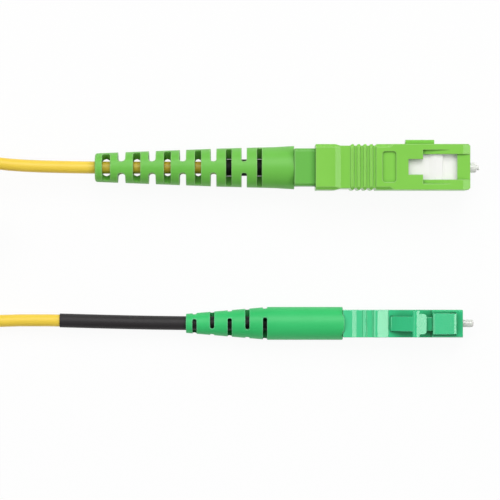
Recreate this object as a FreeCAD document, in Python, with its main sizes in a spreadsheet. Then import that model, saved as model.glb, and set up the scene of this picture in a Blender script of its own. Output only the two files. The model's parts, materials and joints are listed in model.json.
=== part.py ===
import FreeCAD, Part

import math
import os
import re

import Sketcher

# Each plug is drawn about its own axis. X runs out of the front face, so sizes "from the front" are negative X.
SIZES = [
    # layout and cable
    ("axis_spacing", 25.47, "between the two plug axes"),
    ("plug_offset", 0.91, "latched plug front behind push-pull plug front"),
    ("cable_dia", 2.0, "cable jacket"),
    ("buffer_dia", 0.9, "buffered fibre"),
    ("fit_gap", 0.04, "clearance round nested fixed pieces"),
    ("run_gap", 0.1, "clearance round sliding pieces"),
    ("pivot_gap", 0.06, "clearance round pivot beads"),
    # push-pull housing
    ("sc_length", 25.0, "housing along the axis"),
    ("sc_width", 7.4, "housing across, key direction"),
    ("sc_height", 9.0, "housing across the windows"),
    ("sc_side_wall", 0.57, "wall on the key side"),
    ("sc_face_wall", 0.65, "wall on the window side"),
    ("edge_cut", 0.5, "chamfer of the rear long edges"),
    ("edge_cut_end", 12.3, "where that chamfer stops, from the front"),
    ("edge_cut_fade", 0.7, "run-out of that chamfer"),
    ("grip_front", 15.2, "front end of the grip band"),
    ("grip_depth", 0.25, "depth of the grip band"),
    ("grip_lead", 0.82, "front end of the band to the first rib"),
    ("grip_rib_pitch", 1.02, "rib spacing"),
    ("grip_tail", 1.86, "last rib to the foot of the rear ramp"),
    ("grip_ramp", 0.93, "ramp out of the band"),
    ("grip_rib_base", 0.66, "rib width at its foot"),
    ("grip_rib_top", 0.4, "rib width at its crest"),
    ("grip_crest", 0.2, "sloped rear edge of each rib"),
    ("grip_crest_drop", 0.06, "drop of that slope"),
    ("panel_gap", 1.0, "grip band to the shallow panel"),
    ("panel_length", 2.2, "panel along the axis"),
    ("panel_width", 5.0, "panel across"),
    ("panel_depth", 0.3, "panel depth"),
    ("panel_corner", 0.3, "cut corners of the panel"),
    ("key_rear", 10.39, "rear end of the key"),
    ("key_length", 4.76, "key along the axis"),
    ("key_height", 0.8, "key above the wall"),
    ("key_width", 2.2, "key across"),
    ("key_ramp", 0.12, "ramp at the rear of the key"),
    ("window_front", 2.1, "front end of the window"),
    ("window_width", 4.12, "wide part across"),
    ("window_wide_length", 5.55, "wide part along the axis"),
    ("window_neck", 2.5, "narrow part across"),
    ("window_neck_length", 2.35, "narrow part along the axis"),
    ("ramp_width", 5.5, "across both window ramps"),
    ("ramp_depth", 0.55, "ramp depth at its rear end"),
    ("ramp_short", 1.1, "ramps end behind the window front"),
    ("channel_depth", 0.35, "hook channel in the front bar"),
    ("mouth_length", 1.17, "lead-in slope at the front"),
    ("mouth_drop", 0.3, "drop of that slope"),
    ("mouth_side", 0.3, "chamfer of the front on the key sides"),
    # plug frame
    ("frame_front", 0.5, "frame front behind housing front"),
    ("frame_rear", 18.5, "frame rear end"),
    ("frame_mouth_dia", 4.7, "bore round the ferrule"),
    ("frame_stop_front", 7.3, "front of the flange stop"),
    ("frame_stop_length", 1.1, "flange stop along the axis"),
    ("frame_stop_dia", 3.8, "hole in the flange stop"),
    ("frame_bore_dia", 4.8, "spring chamber"),
    ("ridge_front", 4.4, "front of the latch ridge"),
    ("ridge_length", 1.15, "top of the latch ridge"),
    ("ridge_ramp", 1.1, "ramp behind the ridge"),
    ("ridge_height", 0.3, "ridge above the frame side"),
    ("ridge_drop", 0.42, "ridge above the frame nose"),
    ("frame_side_rear", 11.4, "rear end of the lowered frame side"),
    # push-pull rear body, stop ring, spring, ferrule
    ("sc_spigot", 1.7, "rear body inside the frame"),
    ("sc_neck_edge", 0.35, "chamfer of the neck edges"),
    ("sc_ring_front", 15.2, "spring seat"),
    ("sc_stem_dia", 3.0, "crimp stem"),
    ("sc_ring_bore", 2.8, "bore for the flange tube"),
    ("sc_ring_bore_depth", 2.4, "depth of that bore"),
    ("stem_bore", 1.3, "bore for the fibre"),
    ("sc_spring_wire", 0.4, "spring wire"),
    ("sc_spring_mean", 3.4, "mean coil of the spring"),
    ("sc_flange_length", 1.8, "flange along the axis"),
    ("sc_flange_tube", 4.0, "tube behind the flange"),
    ("sc_flange_tube_dia", 2.4, "that tube"),
    ("flange_slot", 0.7, "key slot in the flange"),
    ("sc_ferrule_dia", 2.5, "ferrule shaft"),
    ("sc_ferrule_seat", 2.0, "ferrule end inside the flange"),
    ("ferrule_seat_step", 0.4, "seat smaller than the shaft"),
    ("sc_step_front", 0.0, "shaft end past the housing front"),
    ("sc_nose_dia", 1.7, "stepped nose"),
    ("sc_nose_reach", 1.3, "nose end past the front"),
    ("sc_nose_round", 0.22, "rounded nose edge"),
    ("sc_tip_dia", 0.86, "polished tip"),
    ("sc_tip_reach", 1.77, "tip past the front"),
    ("tip_angle", 8.0, "polish angle in degrees"),
    # push-pull crimp and boot
    ("crimp_wall", 0.3, "crimp sleeve wall"),
    ("crimp_inset", 0.2, "crimp sleeve behind the boot mouth"),
    ("inner_sleeve_dia", 2.7, "inner shrink sleeve"),
    ("sc_boot_front", 28.45, "boot front"),
    ("sc_flare_length", 3.15, "front flare along the axis"),
    ("sc_stem_depth", 4.95, "crimp stem inside the boot"),
    ("sc_slot_lead", 0.7, "stem end to the first slot"),
    ("sc_boot_front_dia", 7.09, "boot at its front"),
    ("sc_boot_flare_dia", 6.72, "boot at the flare"),
    ("sc_boot_mid_dia", 6.26, "boot at the change of taper"),
    ("sc_boot_tail_dia", 4.7, "boot at its tail"),
    ("sc_boot_round", 0.3, "tail edge"),
    ("boot_gap", 0.1, "boot bore round the cable"),
    ("sc_slot_pitch", 4.99, "slots on one side"),
    ("sc_tail_length", 1.85, "last slot to the tail end"),
    ("sc_slot_wide", 1.3, "slot width at the tail"),
    ("sc_slot_thin", 0.78, "slot width at the head"),
    ("sc_slot_hole", 1.4, "half length of the hole at the axis"),
    ("sc_web", 0.95, "half width of the webs"),
    # latched plug housings
    ("lc_width", 4.5, "housing across"),
    ("lc_front_length", 12.1, "front housing"),
    ("lc_edge", 0.22, "edge chamfer"),
    ("lc_mouth_dia", 2.9, "bore round the ferrule"),
    ("lc_stop_front", 4.6, "front of the flange stop"),
    ("lc_stop_rear", 5.4, "rear of the flange stop"),
    ("lc_stop_dia", 2.44, "hole in the flange stop"),
    ("lc_bore_dia", 3.3, "spring chamber"),
    ("lc_low_end", 5.1, "front end of the lowered top"),
    ("lc_low_drop", 0.35, "drop of that top"),
    ("rib_floor", 0.3, "grip grooves below the top"),
    ("rib_nose", 1.85, "front slope of the rear housing"),
    ("rib_length", 0.75, "rib along the axis"),
    ("rib_gap_front", 0.99, "between the two ribs"),
    ("rib_gap_rear", 0.91, "second rib to the ramp"),
    ("rib_ramp", 0.7, "ramp up to the rear block"),
    ("rib_block", 1.49, "rear block along the axis"),
    ("rib_bevel", 0.15, "bevel of the rib edges"),
    ("rib_rise", 0.2, "front rib above the top"),
    ("rib_crest", 0.3, "sloped rear edge of each rib"),
    ("rib_crest_drop", 0.09, "drop of that slope"),
    # latch and trigger
    ("latch_pivot", 1.6, "latch root, from the front"),
    ("latch_root", 0.9, "root bead diameter"),
    ("latch_front", 1.06, "front of the latch block"),
    ("latch_step", 5.0, "locking step"),
    ("latch_tail", 2.5, "tail behind the locking step"),
    ("latch_tail_rise", 0.08, "rise of the tail to its end"),
    ("latch_width", 3.4, "latch block across"),
    ("latch_tail_width", 2.2, "tail across"),
    ("latch_lift", 13.0, "angle under the latch in degrees"),
    ("latch_front_top", 1.2, "block front above the housing"),
    ("latch_rear_top", 1.75, "locking step above the housing"),
    ("latch_tail_thick", 0.55, "tail thickness"),
    ("latch_edge", 0.32, "sloped ends of the block top"),
    ("latch_edge_drop", 0.1, "drop of those slopes"),
    ("latch_chin", 0.3, "front chamfer of the block"),
    ("trigger_lead", 0.55, "trigger root ahead of the housing joint"),
    ("trigger_pivot_drop", 0.15, "root below the housing top"),
    ("trigger_root", 0.6, "root bead diameter"),
    ("trigger_arm_width", 2.38, "arm across"),
    ("trigger_bar_front", 7.22, "front of the cross bar"),
    ("trigger_bar_length", 1.13, "cross bar along the axis"),
    ("trigger_bar_width", 4.3, "cross bar across"),
    ("trigger_bar_top", 3.05, "cross bar above the housing"),
    ("trigger_bar_thick", 0.75, "cross bar thickness"),
    ("trigger_edge", 0.3, "rear slope of the cross bar"),
    ("trigger_edge_drop", 0.2, "drop of that slope"),
    ("trigger_slope_lead", 0.5, "pad slope starts behind the bar front"),
    ("trigger_pad", 1.17, "pad ahead of the cross bar"),
    ("trigger_tip_width", 3.36, "pad across"),
    ("trigger_tip_top", 2.45, "pad tip above the housing"),
    ("trigger_tip_relief", 0.35, "rise under the pad to its tip"),
    ("trigger_tip_corner", 0.5, "pad corner"),
    ("trigger_gap", 0.26, "pad above the latch tail"),
    # latched plug stop ring, spring, ferrule
    ("lc_ring_front", 10.3, "spring seat"),
    ("lc_stem_dia", 2.1, "crimp stem"),
    ("lc_stem_tail", 5.11, "stem inside the boot"),
    ("lc_ring_bore", 2.0, "bore for the flange tube"),
    ("lc_ring_bore_depth", 1.6, "depth of that bore"),
    ("lc_spring_wire", 0.28, "spring wire"),
    ("lc_spring_mean", 2.3, "mean coil of the spring"),
    ("lc_flange_length", 1.5, "flange along the axis"),
    ("lc_flange_tube", 2.5, "tube behind the flange"),
    ("lc_flange_tube_dia", 1.6, "that tube"),
    ("lc_ferrule_dia", 1.25, "ferrule shaft"),
    ("lc_ferrule_seat", 1.1, "ferrule end inside the flange"),
    ("lc_tip_reach", 1.92, "tip past the front"),
    ("lc_tip_dia", 0.7, "polished tip"),
    ("lc_tip_cone", 0.3, "rounded tip edge"),
    # latched plug crimp, boot and tube
    ("lc_crimp_wall", 0.32, "crimp sleeve wall"),
    ("lc_boot_gap", 0.05, "boot mouth behind the housing"),
    ("lc_boot_head", 12.21, "round part of the boot"),
    ("lc_boot_dia", 5.4, "boot"),
    ("lc_boot_tail_dia", 3.14, "boot at its tail"),
    ("lc_boot_bow", 11.2, "radius of the bowed front end"),
    ("lc_boot_lip", 0.3, "boot lip past the rear of the housing"),
    ("lc_lip_gap", 0.05, "lip above the housing"),
    ("lc_shoulder", 0.48, "taper end to the first slot"),
    ("lc_slot_pitch", 2.88, "slot spacing"),
    ("lc_tail_length", 1.4, "last slot to the tail end"),
    ("lc_slot_width", 0.68, "slot width"),
    ("lc_web_share", 0.42, "half web against the boot radius"),
    ("tube_inset", 0.9, "shrink tube behind the stem end"),
    ("tube_reach", 20.7, "shrink tube behind the boot"),
    ("tube_dia", 2.28, "shrink tube outside"),
    ("tube_gap", 0.03, "shrink tube round the cable"),
    ("tube_play", 0.1, "boot bore round the shrink tube"),
    # coil and ties
    ("sc_run", 2.5, "straight cable behind the push-pull boot"),
    ("sc_way_x", -44.0, "first lead turns in, along X"),
    ("sc_way_shift", 0.4, "its sideways drift there"),
    ("sc_way_rise", 0.7, "its rise there"),
    ("lc_run", 3.0, "straight cable behind the latched boot"),
    ("lc_way_x", -45.5, "second lead turns in, along X"),
    ("lc_way_shift", 0.78, "its sideways drift there"),
    ("lc_way_drop", 0.4, "its drop there"),
    ("lane_x", -54.0, "both leads join the coil, along X"),
    ("coil_x", -62.0, "coil centre along X"),
    ("coil_y", 0.2, "coil centre along Y"),
    ("coil_inner", 8.0, "inside of the coil"),
    ("coil_outer", 16.0, "outside of the coil"),
    ("coil_height", 7.2, "height of the coil"),
    ("top_lane", 14.0, "centre of the first turn, from the coil centre"),
    ("tie_thick", 0.5, "tie strip"),
    ("tie_width", 4.0, "tie along the coil"),
    ("tie_gap", 0.05, "tie round the bundle"),
]
VALUES = {alias: value for alias, value, note in SIZES}
GRIP_RIBS = 4
SC_SLOTS = 6
LC_SLOTS = 5
SLEEVE_SLOT = 8
SPRING_TURNS = 5
SPRING_STEPS = 12

doc = FreeCAD.newDocument("patch_cord")
sheet = doc.addObject("Spreadsheet::Sheet", "Sizes")
for row, (alias, value, note) in enumerate(SIZES, start=1):
    sheet.set(f"A{row}", alias)
    sheet.set(f"B{row}", str(value))
    sheet.set(f"C{row}", note)
    sheet.setAlias(f"B{row}", alias)
doc.recompute()

PARTS = []

SC_STEM = ["sc_boot_front", "sc_stem_depth"]
SC_TAIL = SC_STEM + ["sc_slot_lead"] + ["sc_slot_pitch"] * (SC_SLOTS - 1) + ["sc_tail_length"]
SC_MID = f"(sc_tail_length + {(SLEEVE_SLOT - 0.5) / 2} * sc_slot_pitch)"
FRAME_STOP = ["frame_stop_front", "frame_stop_length"]
LC_RIBS = ["rib_nose", "rib_length", "rib_gap_front", "rib_length", "rib_gap_rear", "rib_ramp", "rib_block"]
LC_MOUTH = ["lc_front_length"] + LC_RIBS + ["lc_boot_gap"]
LC_STEM = LC_MOUTH + ["lc_stem_tail"]
LC_TAPER = LC_MOUTH + ["lc_boot_head"]
LC_TAIL = LC_TAPER + ["lc_shoulder"] + ["lc_slot_pitch"] * (LC_SLOTS - 1) + ["lc_tail_length"]
TUBE_END = LC_TAIL + ["tube_reach"]


def chain(names):
    """The sum of a run of sizes as an expression."""
    return "(" + " + ".join(names) + ")"


def total(names):
    """The sum of a run of sizes as a number."""
    return sum(VALUES[name] for name in names)


SC_X = f"(plug_offset + {chain(TUBE_END)} - sc_tip_reach) / 2"
SC_Y = "(axis_spacing + lc_boot_dia / 2 - sc_width / 2 - key_height) / 2"
SC_AT = (SC_X, SC_Y, "sc_height / 2")
LC_AT = (f"{SC_X} - plug_offset", f"{SC_Y} - axis_spacing", "lc_boot_dia / 2")


def expr(text):
    """An expression with each size name pointed at the sheet."""
    return re.sub(r"[a-z]\w*", lambda m: f"Sizes.{m[0]}" if m[0] in VALUES else m[0], text)


def keep(feature, node):
    """Name a finished sub-part after its file."""
    feature.Label = node
    PARTS.append(feature)
    return feature


def place(feature, at):
    """Bind the position of a sub-part to the sheet."""
    for axis, text in zip("xyz", at):
        feature.setExpression(f"Placement.Base.{axis}", expr(text))


def new_body(node, at):
    """A body for one sub-part, placed on its plug axis."""
    body = doc.addObject("PartDesign::Body", node)
    place(body, at)
    return keep(body, node)


def origin(body, role):
    """A plane or axis of the body's own origin."""
    return next(o for o in body.Origin.OriginFeatures if o.Role == role)


def sketch(body, role, loops, lift="0"):
    """Closed outlines drawn roughly, then dimensioned corner by corner from the sheet."""
    sk = body.newObject("Sketcher::SketchObject", f"{body.Name}_sketch")
    sk.AttachmentSupport = [(origin(body, role), "")]
    sk.MapMode = "FlatFace"
    sk.setExpression("AttachmentOffset.Base.z", expr(lift))
    first = 0
    for points in loops:
        count = len(points)
        turn = [2 * math.pi * i / count for i in range(count)]
        rough = [FreeCAD.Vector(math.cos(a), math.sin(a), 0) for a in turn]
        sides = [Part.LineSegment(rough[i], rough[(i + 1) % count]) for i in range(count)]
        sk.addGeometry(sides, False)
        for i in range(count):
            follow = first + (i + 1) % count
            sk.addConstraint(Sketcher.Constraint("Coincident", first + i, 2, follow, 1))
        for i, (across, up) in enumerate(points):
            number = sk.addConstraint(Sketcher.Constraint("DistanceX", -1, 1, first + i, 1, rough[i].x))
            sk.setExpression(f"Constraints[{number}]", expr(across))
            number = sk.addConstraint(Sketcher.Constraint("DistanceY", -1, 1, first + i, 1, rough[i].y))
            sk.setExpression(f"Constraints[{number}]", expr(up))
        first += count
    return sk


def ring_sketch(body, role, across, up, dia):
    """One circle, dimensioned from the sheet."""
    sk = body.newObject("Sketcher::SketchObject", f"{body.Name}_sketch")
    sk.AttachmentSupport = [(origin(body, role), "")]
    sk.MapMode = "FlatFace"
    sk.addGeometry(Part.Circle(FreeCAD.Vector(1, 1, 0), FreeCAD.Vector(0, 0, 1), 1), False)
    for kind, text in (("DistanceX", across), ("DistanceY", up)):
        count = sk.addConstraint(Sketcher.Constraint(kind, -1, 1, 0, 3, 1.0))
        sk.setExpression(f"Constraints[{count}]", expr(text))
    count = sk.addConstraint(Sketcher.Constraint("Diameter", 0, 2.0))
    sk.setExpression(f"Constraints[{count}]", expr(dia))
    return sk


def feature(body, kind, profile):
    """A PartDesign feature on a sketch; the body's tip follows it."""
    made = body.newObject(f"PartDesign::{kind}", f"{body.Name}_{kind}")
    made.Profile = profile
    return made


def pad(body, profile, length, both=False):
    made = feature(body, "Pad", profile)
    made.setExpression("Length", expr(length))
    made.SideType = "Symmetric" if both else "One side"
    return made


def pocket(body, profile, length=None):
    """A cut to both sides of the sketch: right through, or of the stated length in all."""
    made = feature(body, "Pocket", profile)
    made.SideType = "Symmetric"
    if length is None:
        made.Type = "ThroughAll"
    else:
        made.setExpression("Length", expr(length))
    return made


def turned(body, points, kind="Revolution"):
    """A profile of (x, radius) corners turned about X, added or with kind Groove cut away."""
    made = feature(body, kind, sketch(body, "XY_Plane", [points]))
    made.ReferenceAxis = (origin(body, "X_Axis"), [""])
    made.Angle = 360
    return made


def loft(body, kind, sections):
    """Straight walls through a row of sections."""
    made = feature(body, kind, sections[0])
    made.Sections = sections[1:]
    made.Ruled = True
    return made


def box(x0, x1, y0, y1):
    """Corners of a rectangle."""
    return [(x0, y0), (x1, y0), (x1, y1), (x0, y1)]


def cut_box(x0, x1, half, corner):
    """A rectangle about the X axis with its corners cut off."""
    edge = f"{half} - {corner}"
    return [(x0, f"-({edge})"), (f"{x0} + {corner}", f"-({half})"), (f"{x1} - {corner}", f"-({half})"),
            (x1, f"-({edge})"), (x1, edge), (f"{x1} - {corner}", half), (f"{x0} + {corner}", half),
            (x0, edge)]


def both_sides(points):
    """An outline and its mirror image across the X axis."""
    return [points, [(x, f"-({y})") for x, y in reversed(points)]]


def obround(centre, width, half):
    """A slot outline with round ends, long across X."""
    points = []
    for k in range(5):
        a = math.radians(45 * k)
        points.append((f"{centre} + {width} / 2 * {math.cos(a):.5f}",
                       f"{half} - {width} / 2 * {1 - math.sin(a):.5f}"))
    for k in range(4, 9):
        a = math.radians(45 * k)
        points.append((f"{centre} + {width} / 2 * {math.cos(a):.5f}",
                       f"{width} / 2 * {1 + math.sin(a):.5f} - ({half})"))
    return points


def boot_slot(body, role, centre, width, hole, web, radius):
    """One cross slot of a boot: a hole at the axis that widens outwards and leaves two webs."""
    depth = f"1.25 * ({radius})"
    spread = f"{hole} + {depth} * (sqrt(({radius})^2 - ({web})^2) - {hole}) / ({web})"
    sections = []
    for lift, half in ((f"-{depth}", spread), ("0", hole), (depth, spread)):
        sections.append(sketch(body, role, [obround(centre, width, half)], lift))
    loft(body, "SubtractiveLoft", sections)


def sc_radius(k, along):
    """Outside radius of the push-pull boot at a distance ahead of its tail, by slot number."""
    if k < SLEEVE_SLOT:
        share = f"({along} - sc_boot_round) / ({SC_MID} - sc_boot_round)"
        return f"sc_boot_tail_dia / 2 + (sc_boot_mid_dia - sc_boot_tail_dia) / 2 * {share}"
    share = f"({along} - {SC_MID}) / ({chain(SC_TAIL)} - sc_boot_front - sc_flare_length - {SC_MID})"
    return f"sc_boot_mid_dia / 2 + (sc_boot_flare_dia - sc_boot_mid_dia) / 2 * {share}"


def spring(node, at, rear, front, wire, mean):
    """A compression spring as a faceted helix of six-sided wire along X."""
    count = SPRING_TURNS * SPRING_STEPS
    rings = []
    for i in range(count + 1):
        a = 2 * math.pi * i / SPRING_STEPS
        x = rear + wire / 2 + (front - rear - wire) * i / count
        ring = []
        for k in range(6):
            b = 2 * math.pi * k / 6
            r = mean / 2 + wire / 2 * math.sin(b)
            ring.append(FreeCAD.Vector(x + wire / 2 * math.cos(b), r * math.cos(a), r * math.sin(a)))
        rings.append(ring)
    faces = [Part.Face(Part.makePolygon(ring + ring[:1])) for ring in (rings[0], rings[-1])]
    for near, far in zip(rings, rings[1:]):
        for k in range(6):
            j = (k + 1) % 6
            for corners in ((near[k], near[j], far[j]), (near[k], far[j], far[k])):
                faces.append(Part.Face(Part.makePolygon(list(corners) + [corners[0]])))
    solid = Part.Solid(Part.Shell(faces))
    if solid.Volume < 0:
        solid.reverse()
    made = doc.addObject("Part::Feature", node)
    made.Shape = solid
    place(made, at)
    return keep(made, node)


def path_of(points):
    """Straight runs joined by tangent arcs, each as large as its two runs allow."""
    edges = []
    start = points[0]
    for before, corner, after in zip(points, points[1:], points[2:]):
        back = (before - corner).normalize()
        on = (after - corner).normalize()
        turn = math.pi - back.getAngle(on)
        reach = 0.45 * min(before.distanceToPoint(corner), corner.distanceToPoint(after))
        radius = reach / math.tan(turn / 2)
        print(f"bend radius {radius:.1f} mm")
        enter = corner + back * reach
        leave = corner + on * reach
        middle = (back + on).normalize()
        crest = corner + middle * (radius / math.cos(turn / 2) - radius)
        edges.append(Part.LineSegment(start, enter).toShape())
        edges.append(Part.Arc(enter, crest, leave).toShape())
        start = leave
    edges.append(Part.LineSegment(start, points[-1]).toShape())
    return Part.Wire(edges)


def swept(path, radius):
    """A round bar along a path."""
    begin = path.Edges[0].Vertexes[0].Point
    ahead = path.Edges[0].tangentAt(path.Edges[0].FirstParameter)
    ring = Part.Wire(Part.makeCircle(radius, begin, ahead))
    solid = path.makePipeShell([ring], True, False)
    ratio = solid.Volume / (math.pi * radius ** 2 * path.Length)
    print(f"bar of {path.Length:.1f} mm: volume against section times length {ratio:.4f}")
    return solid


# push-pull outer housing
body = new_body("sc_outer_housing", SC_AT)
outer = box("-sc_width / 2", "sc_width / 2", "-sc_height / 2", "sc_height / 2")
pad(body, sketch(body, "YZ_Plane", [outer], "-sc_length"), "sc_length")
key = [("-key_rear", "0"), ("key_length - key_rear", "0"),
       ("key_length - key_rear", "sc_width / 2 + key_height"),
       ("key_ramp - key_rear", "sc_width / 2 + key_height"), ("-key_rear", "sc_width / 2")]
pad(body, sketch(body, "XY_Plane", [key]), "key_width", both=True)
hollow = box("sc_side_wall - sc_width / 2", "sc_width / 2 - sc_side_wall",
             "sc_face_wall - sc_height / 2", "sc_height / 2 - sc_face_wall")
pocket(body, sketch(body, "YZ_Plane", [hollow]))
for role, half in (("XZ_Plane", "sc_height / 2"), ("XY_Plane", "sc_width / 2")):
    floor = f"{half} - grip_depth"
    foot = f"-(grip_front + grip_lead + {GRIP_RIBS - 1} * grip_rib_pitch + grip_tail)"
    band = [(f"{foot} - grip_ramp", "sc_height"), (f"{foot} - grip_ramp", half), (foot, floor)]
    for k in reversed(range(GRIP_RIBS)):
        rib = f"-(grip_front + grip_lead + {k} * grip_rib_pitch)"
        band += [(f"{rib} - grip_rib_base / 2", floor),
                 (f"{rib} - grip_rib_top / 2", f"{half} - grip_crest_drop"),
                 (f"{rib} - grip_rib_top / 2 + grip_crest", half), (f"{rib} + grip_rib_top / 2", half),
                 (f"{rib} + grip_rib_base / 2", floor)]
    band += [("-grip_front - grip_depth / 2", floor), ("-grip_front", half), ("-grip_front", "sc_height")]
    pocket(body, sketch(body, role, both_sides(band)))
panel_rear = "panel_gap - grip_front"
panel = cut_box(panel_rear, f"{panel_rear} + panel_length", "panel_width / 2", "panel_corner")
for lift in ("sc_height / 2", "-sc_height / 2"):
    pocket(body, sketch(body, "XY_Plane", [panel], lift), "2 * panel_depth")
step = "-(window_front + window_wide_length)"
rear = f"{step} - window_neck_length"
window = [(rear, "-window_neck / 2"), (step, "-window_neck / 2"), (step, "-window_width / 2"),
          ("-window_front", "-window_width / 2"), ("-window_front", "window_width / 2"),
          (step, "window_width / 2"), (step, "window_neck / 2"), (rear, "window_neck / 2")]
pocket(body, sketch(body, "XY_Plane", [window]))
ramp_front = "-(window_front + ramp_short)"
ramp = [(step, "sc_height / 2 - ramp_depth"), (ramp_front, "sc_height / 2"), (ramp_front, "sc_height"),
        (step, "sc_height")]
pocket(body, sketch(body, "XZ_Plane", both_sides(ramp)), "ramp_width")
channel = box("-window_front - 0.1", "1", "sc_height / 2 - channel_depth", "sc_height")
pocket(body, sketch(body, "XZ_Plane", both_sides(channel)), "window_width")
mouth = [("-mouth_length", "sc_height / 2"), ("0", "sc_height / 2 - mouth_drop"),
         ("1", "sc_height / 2 - mouth_drop"), ("1", "sc_height"), ("-mouth_length", "sc_height")]
pocket(body, sketch(body, "XZ_Plane", both_sides(mouth)))
mouth = [("-mouth_side", "sc_width / 2"), ("0", "sc_width / 2 - mouth_side"), ("1", "sc_width / 2"),
         ("0", "sc_width")]
pocket(body, sketch(body, "XY_Plane", both_sides(mouth)))
for side, up in ((1, 1), (1, -1), (-1, -1), (-1, 1)):
    sections = []
    for depth, lift in (("edge_cut", "-sc_length"), ("edge_cut", "-edge_cut_end - edge_cut_fade"),
                        ("0.05 * edge_cut", "-edge_cut_end")):
        y = f"{side} * sc_width / 2"
        z = f"{up} * sc_height / 2"
        corner = [(y, z), (f"{side} * (sc_width / 2 - {depth})", z), (y, f"{up} * (sc_height / 2 - {depth})")]
        sections.append(sketch(body, "YZ_Plane", [corner], lift))
    loft(body, "SubtractiveLoft", sections)

# white plug frame
frame_stop = chain(FRAME_STOP)
body = new_body("sc_plug_frame", SC_AT)
core_y = "(sc_width / 2 - sc_side_wall - run_gap)"
core_z = "(sc_height / 2 - sc_face_wall - run_gap)"
core = box(f"-{core_y}", core_y, f"-{core_z}", core_z)
pad(body, sketch(body, "YZ_Plane", [core], "-frame_rear"), "frame_rear - frame_front")
side = f"{core_z} - ridge_height"
ridge_rear = "-(ridge_front + ridge_length)"
cheek = [("-frame_side_rear", "sc_height"), ("-frame_side_rear", side), (f"{ridge_rear} - ridge_ramp", side),
         (ridge_rear, core_z), (ridge_rear, "sc_height")]
nose = box("-ridge_front", "1", f"{core_z} - ridge_drop", "sc_height")
pocket(body, sketch(body, "XZ_Plane", both_sides(cheek) + both_sides(nose)))
turned(body, [("0", "0"), ("0", "frame_mouth_dia / 2"), ("-frame_stop_front", "frame_mouth_dia / 2"),
              ("-frame_stop_front", "frame_stop_dia / 2"), (f"-{frame_stop}", "frame_stop_dia / 2"),
              (f"-{frame_stop}", "frame_bore_dia / 2"), ("-frame_rear - 1", "frame_bore_dia / 2"),
              ("-frame_rear - 1", "0")], "Groove")

# push-pull rear body with its neck
body = new_body("sc_rear_body", SC_AT)
neck = [(f"-{core_y}", f"sc_neck_edge - {core_z}"), (f"sc_neck_edge - {core_y}", f"-{core_z}"),
        (f"{core_y} - sc_neck_edge", f"-{core_z}"), (core_y, f"sc_neck_edge - {core_z}"),
        (core_y, f"{core_z} - sc_neck_edge"), (f"{core_y} - sc_neck_edge", core_z),
        (f"sc_neck_edge - {core_y}", core_z), (f"-{core_y}", f"{core_z} - sc_neck_edge")]
pad(body, sketch(body, "YZ_Plane", [neck], "-sc_boot_front"), "sc_boot_front - frame_rear")
spigot = "frame_bore_dia / 2 - fit_gap"
turned(body, [("-frame_rear - 1", "0"), ("-frame_rear - 1", spigot), ("sc_spigot - frame_rear", spigot),
              ("sc_spigot - frame_rear", "0")])
sc_stem_hole = "sc_stem_dia / 2 + fit_gap"
turned(body, [("-sc_boot_front - 1", "0"), ("-sc_boot_front - 1", sc_stem_hole), ("0", sc_stem_hole),
              ("0", "0")], "Groove")

# stop ring with crimp stem
sc_stem = chain(SC_STEM)
body = new_body("sc_stop_ring", SC_AT)
turned(body, [(f"-{sc_stem}", "stem_bore / 2"), (f"-{sc_stem}", "sc_stem_dia / 2"),
              ("sc_spigot - frame_rear", "sc_stem_dia / 2"), ("sc_spigot - frame_rear", spigot),
              ("-sc_ring_front", spigot), ("-sc_ring_front", "sc_ring_bore / 2"),
              ("-sc_ring_front - sc_ring_bore_depth", "sc_ring_bore / 2"),
              ("-sc_ring_front - sc_ring_bore_depth", "stem_bore / 2")])

# ferrule flange, ferrule and spring of the push-pull plug
sc_flange_rear = f"-({frame_stop} + sc_flange_length)"
body = new_body("sc_ferrule_flange", SC_AT)
seat = "(sc_ferrule_dia - ferrule_seat_step) / 2 + fit_gap"
fibre_hole = "buffer_dia / 2 + fit_gap"
flange_rim = "frame_bore_dia / 2 - run_gap"
turned(body, [(f"-{frame_stop}", seat), (f"-{frame_stop}", flange_rim), (sc_flange_rear, flange_rim),
              (sc_flange_rear, "sc_flange_tube_dia / 2"),
              (f"{sc_flange_rear} - sc_flange_tube", "sc_flange_tube_dia / 2"),
              (f"{sc_flange_rear} - sc_flange_tube", fibre_hole),
              (f"-{frame_stop} - sc_ferrule_seat - fit_gap", fibre_hole),
              (f"-{frame_stop} - sc_ferrule_seat - fit_gap", seat)])
slot = box("-flange_slot / 2", "flange_slot / 2", "frame_stop_dia / 2", "frame_bore_dia")
pocket(body, sketch(body, "YZ_Plane", both_sides(slot), sc_flange_rear), "4 * sc_flange_length")

body = new_body("sc_ferrule", SC_AT)
seat = "(sc_ferrule_dia - ferrule_seat_step) / 2"
shaft = "sc_ferrule_dia / 2"
nose = "sc_nose_dia / 2"
turned(body, [(f"-{frame_stop} - sc_ferrule_seat", "0"), (f"-{frame_stop} - sc_ferrule_seat", seat),
              (f"-{frame_stop}", seat), (f"-{frame_stop}", shaft), ("sc_step_front - sc_nose_round", shaft),
              ("sc_step_front", f"{shaft} - sc_nose_round"), ("sc_step_front", nose),
              ("sc_nose_reach - sc_nose_round", nose),
              ("sc_nose_reach - 0.3 * sc_nose_round", f"{nose} - 0.3 * sc_nose_round"),
              ("sc_nose_reach", f"{nose} - sc_nose_round"), ("sc_nose_reach", "sc_tip_dia / 2"),
              ("sc_tip_reach", "sc_tip_dia / 2"), ("sc_tip_reach", "0")])
slant = "sc_tip_dia * tan(tip_angle * 1deg)"
polish = [("sc_tip_reach", "-sc_tip_dia / 2"), ("sc_tip_reach + 1", "-sc_tip_dia / 2"),
          ("sc_tip_reach + 1", "sc_tip_dia / 2"), (f"sc_tip_reach - {slant}", "sc_tip_dia / 2")]
pocket(body, sketch(body, "XY_Plane", [polish]), "2 * sc_tip_dia")

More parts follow.
